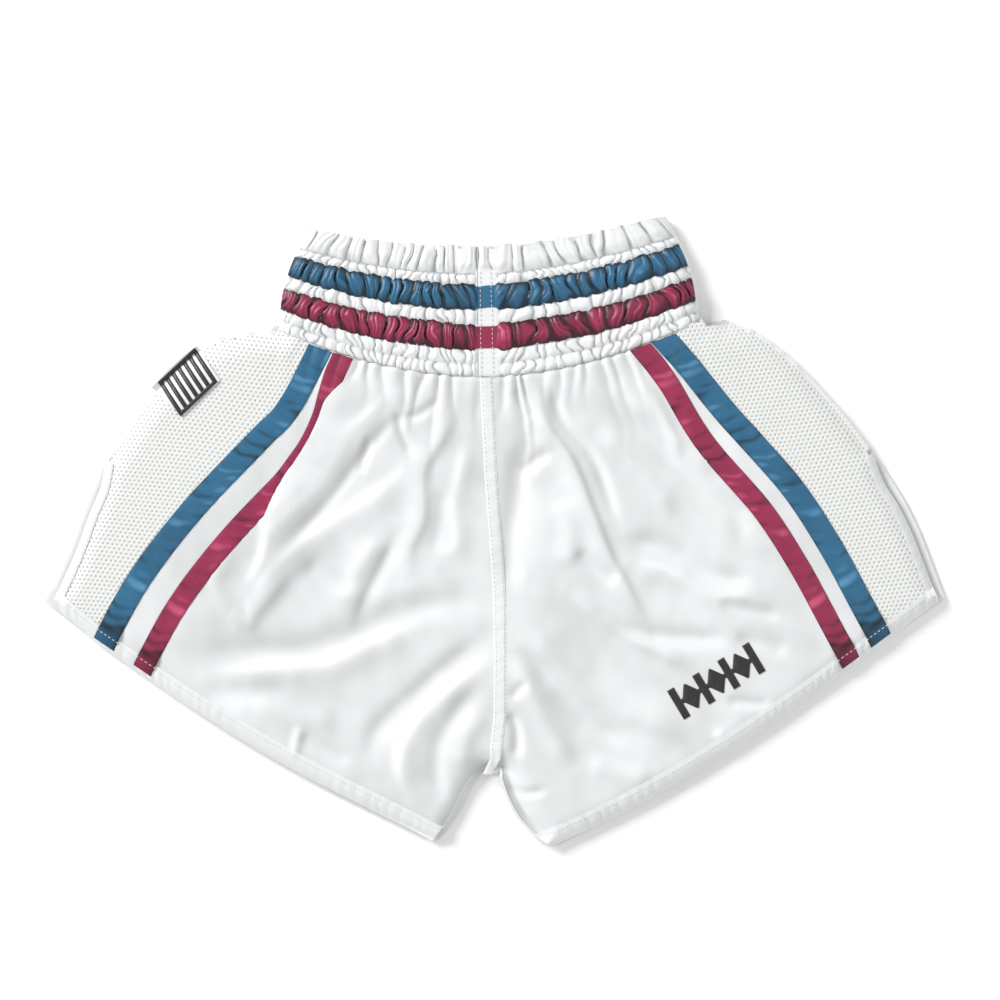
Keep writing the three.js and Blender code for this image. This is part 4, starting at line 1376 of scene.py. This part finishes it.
def row_at(grid, share, start=0.0, end=1.0):
    """A line across a grid of points, at a share of the way down."""
    position = share * (grid.shape[0] - 1)
    r = min(int(position), grid.shape[0] - 2)
    line = grid[r] * (1 - position + r) + grid[r + 1] * (position - r)
    count = len(line)
    return line[int(start * (count - 1)):int(end * (count - 1)) + 1]


def column_at(grid, share, start=0.0, end=1.0):
    return row_at(grid.transpose(1, 0, 2), share, start, end)


class SHORTS_OT_stitching(ShortsOperator):
    """Rows of stitches along the hems, vents, tapes, centre strip and waistband"""
    bl_idname = "shorts.stitching"
    bl_label = "Stitching"

    def execute(self, context):
        white = material("white_thread")
        for side in SIDES:
            grid = hem_grid("front", side)
            top = lifted(grid, hem_top(grid, side, HEM_PUCKERS[side])[0] + 0.1 * MM)
            lines = [row_at(top, 0.16, 0.01, 0.99)]
            vent = patch(four_sides(f"front_vent_edge_{side}", inner_by="y"), 8, 70)
            vent = lifted(vent, front_top(vent, side, VENT_DEPTH) + 0.75 * MM)
            lines += [column_at(vent, 0.2, 0.02, 0.97), column_at(vent, 0.8, 0.02, 0.97)]
            piece = stitch_rows(f"hem_stitches_{side}", lines, white, self.sizes)
            attach(piece)
            lines = []
            for name in (BLUE_TAPE, CRIMSON_TAPE):
                grid = patch(four_sides(f"front_{name}_{side}", inner_by="y"), 18, 190)
                grid = lifted(grid, front_top(grid, side, TAPE_DEPTH) + 2.0 * MM)
                lines.append(row_at(grid, 1 - 6 / TAPE_LENGTH))
            piece = stitch_rows(f"tape_stitches_{side}", lines, white, self.sizes)
            attach(piece)
            s = np.linspace(STRIP_END[side][1], BAND_WIDTH[side] - 1, 260)
            lines = []
            for h in (8.5, 67.0):
                row = band_surface(side, s, np.full(s.shape, h))
                row[:, 2] += 0.1 * MM
                lines.append(row)
            piece = stitch_rows(f"band_stitches_{side}", lines, white, self.sizes, 0.45)
            attach(piece)
        strip = placket_top(placket_grid())
        strip[..., 2] += 0.1 * MM
        lines = [column_at(strip, 0.16, 0, 0.94), column_at(strip, 0.84, 0, 0.94)]
        h = np.linspace(68, 0.5, 90)
        for s in (1.6, 8.6):
            row = band_surface("right", np.full(h.shape, s), h)
            row[:, 2] += 0.55 * MM
            lines.append(row)
        piece = stitch_rows("strip_stitches", lines, white, self.sizes, 0.5)
        attach(piece)
        return {"FINISHED"}


def satin_stitch(name, middle, angle, half_length, width_at, level, base):
    """An embroidered bar or lozenge: threads lie side by side across it, and its edges roll down.
    The threads are 0.4 mm and are drawn twice as coarse, or they wouldn't show."""
    rows = int(2 * half_length / 0.2)
    t = np.linspace(-1, 1, rows + 1)[:, None]
    u = np.linspace(-1, 1, 7)[None]
    across = u * width_at(t)
    up = t * half_length + 0 * u
    c, sn = math.cos(angle), math.sin(angle)
    x = middle[0] + (across * c - up * sn) * MM
    y = middle[1] + (across * sn + up * c) * MM
    plan = np.stack([x, y, 0 * x], -1)
    thread = 0.16 * np.abs(np.sin(np.pi * up / 0.8)) + 0.4 * (1 - np.abs(u) ** 3) * (1 - np.abs(t) ** 12)
    surface = level(plan) + (base + thread) * MM
    return shell(name, lifted(plan, surface), lifted(plan, level(plan) + (base - 0.35) * MM),
                 material("black_thread"), 60)


BADGE_BARS = 7


class SHORTS_OT_badge(ShortsOperator):
    """The barred badge on the left mesh panel: a white patch with embroidered black bars and frame"""
    bl_idname = "shorts.badge"
    bl_label = "Barred Badge"

    def execute(self, context):
        edges = four_sides("barred_badge", inner_by="y")
        grid = patch(edges, 14, 20)

        def level(points):
            return front_top(points, "left", MESH_DEPTH)

        top = lifted(grid, level(grid) + 0.75 * MM)
        parts = [shell("badge_ground", top, lifted(grid, level(grid) + 0.1 * MM), material("white_satin"))]
        middle = grid[[0, 0, -1, -1], [0, -1, -1, 0]].mean(axis=0)
        long_way = grid[-1, 0] - grid[0, 0]
        short_way = grid[0, -1] - grid[0, 0]
        length, width = np.linalg.norm(long_way[:2]) / MM, np.linalg.norm(short_way[:2]) / MM
        long_unit, short_unit = long_way[:2] / (length * MM), short_way[:2] / (width * MM)
        angle = math.atan2(-short_unit[0], short_unit[1])
        for share in np.linspace(-0.5, 0.5, BADGE_BARS):
            spot = middle[:2] + long_unit * share * (length - 3.2) * MM
            parts.append(satin_stitch("badge_bar", spot, angle, width / 2 - 0.5, lambda t: 1.45 + 0 * t,
                                      level, 0.95))
        angle = math.atan2(-long_unit[0], long_unit[1])
        for way in (-1, 1):
            spot = middle[:2] + short_unit * way * (width / 2 - 1.4) * MM
            parts.append(satin_stitch("badge_rail", spot, angle, length / 2 - 0.4, lambda t: 1.2 + 0 * t,
                                      level, 1.05))
        piece = joined("badge", parts)
        attach(piece, ("barred_badge",))
        return {"FINISHED"}


class SHORTS_OT_motif(ShortsOperator):
    """The embroidered row of bars and lozenges on the right leg"""
    bl_idname = "shorts.motif"
    bl_label = "Leg Motif"

    def execute(self, context):
        lo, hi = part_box("leg_motif")
        middle = np.array([(lo.x + hi.x) / 2, (lo.y + hi.y) / 2])
        angle = math.radians(31)
        ahead = np.array([math.cos(angle), math.sin(angle)])

        def level(points):
            return front_top(points, "right", 0.9)

        parts = []
        for i in range(7):
            spot = middle + ahead * (i - 3) * 9.5 * MM
            if i % 2 == 0:
                shape = satin_stitch("motif_bar", spot, angle, 10.75, lambda t: 2.5 + 0 * t, level, 0.3)
            else:
                shape = satin_stitch("motif_lozenge", spot, angle, 9,
                                     lambda t: 0.5 + 6.3 * (1 - np.abs(t)), level, 0.25)
            parts.append(shape)
        parts.append(satin_stitch("motif_spine", middle, angle - math.pi / 2, 29,
                                  lambda t: 1.6 + 0 * t, level, 0.15))
        piece = joined("leg_motif_embroidery", parts)
        attach(piece, ("leg_motif",))
        return {"FINISHED"}


class SHORTS_OT_studio(ShortsOperator):
    """The pale floor, soft studio light and the camera straight above"""
    bl_idname = "shorts.studio"
    bl_label = "Studio"

    def execute(self, context):
        half, level = 3.0, -0.3 * MM
        mesh = bpy.data.meshes.new("floor")
        corners = [(x * half, y * half, level) for x, y in ((-1, -1), (1, -1), (1, 1), (-1, 1))]
        mesh.from_pydata(corners, [], [(0, 1, 2, 3)])
        made, tree = new_material("white paper backdrop")
        place = node(tree, "ShaderNodeTexCoord")
        grain = node(tree, "ShaderNodeTexNoise", {"Scale": 60.0, "Detail": 3.0},
                     {"Vector": place.outputs["Object"]})
        base = node(tree, "ShaderNodeMix", {
            "data_type": "RGBA", 6: (*linear("#FDFDFD"), 1), 7: (*linear("#FBFBFB"), 1)},
            {0: grain.outputs["Fac"]})
        finish_with(tree, {"Roughness": 0.9}, {"Base Color": base.outputs[2]})
        mesh.materials.append(made)
        add_object("floor", mesh)
        world = bpy.data.worlds.new("studio")
        world.use_nodes = True
        world.node_tree.nodes["Background"].inputs["Color"].default_value = (1, 1, 1, 1)
        world.node_tree.nodes["Background"].inputs["Strength"].default_value = 0.5
        context.scene.world = world
        for name, spot, size, power in (
                ("key", (-2.9, 2.3, 2.2), 1.7, 200.0), ("fill", (1.3, 0.3, 1.2), 1.2, 6.0),
                ("low", (0.1, -1.4, 0.8), 0.9, 4.0)):
            lamp = bpy.data.lights.new(name, "AREA")
            lamp.size = size
            lamp.energy = power
            holder = bpy.data.objects.new(name, lamp)
            holder.location = spot
            holder.rotation_euler = (-Vector(spot)).to_track_quat("-Z", "Y").to_euler()
            context.scene.collection.objects.link(holder)
        camera = bpy.data.cameras.new("camera")
        height, view_width = 2.0, 0.65
        camera.lens = 36 * (height - 0.012) / view_width
        holder = bpy.data.objects.new("camera", camera)
        holder.location = (0.00325, 0.0208, height)
        context.scene.collection.objects.link(holder)
        context.scene.camera = holder
        context.scene.view_settings.view_transform = "Standard"
        return {"FINISHED"}


PIECES = (
    SHORTS_OT_back_panels, SHORTS_OT_front_panels, SHORTS_OT_mesh_panels, SHORTS_OT_tapes,
    SHORTS_OT_hems, SHORTS_OT_vent_edges, SHORTS_OT_waistband, SHORTS_OT_ribbons,
    SHORTS_OT_centre_strips, SHORTS_OT_side_seams, SHORTS_OT_elastics, SHORTS_OT_stitching,
    SHORTS_OT_badge, SHORTS_OT_motif, SHORTS_OT_studio,
)


class SHORTS_PT_sidebar(bpy.types.Panel):
    """Sizes of the shorts and a button for each piece"""
    bl_label = "Boxing Shorts"
    bl_idname = "SHORTS_PT_sidebar"
    bl_space_type = "VIEW_3D"
    bl_region_type = "UI"
    bl_category = "Shorts"

    def draw(self, context):
        for name in ShortsSizes.__annotations__:
            self.layout.prop(context.scene.boxing_shorts, name)
        for piece in PIECES:
            self.layout.operator(piece.bl_idname)


CLASSES = (ShortsSizes, *PIECES, SHORTS_PT_sidebar)


def register():
    for item in CLASSES:
        bpy.utils.register_class(item)
    bpy.types.Scene.boxing_shorts = bpy.props.PointerProperty(type=ShortsSizes)


def unregister():
    del bpy.types.Scene.boxing_shorts
    for item in reversed(CLASSES):
        bpy.utils.unregister_class(item)


def main():
    register()
    for piece in PIECES:
        group, name = piece.bl_idname.split(".")
        getattr(getattr(bpy.ops, group), name)()


if __name__ == "__main__":
    main()
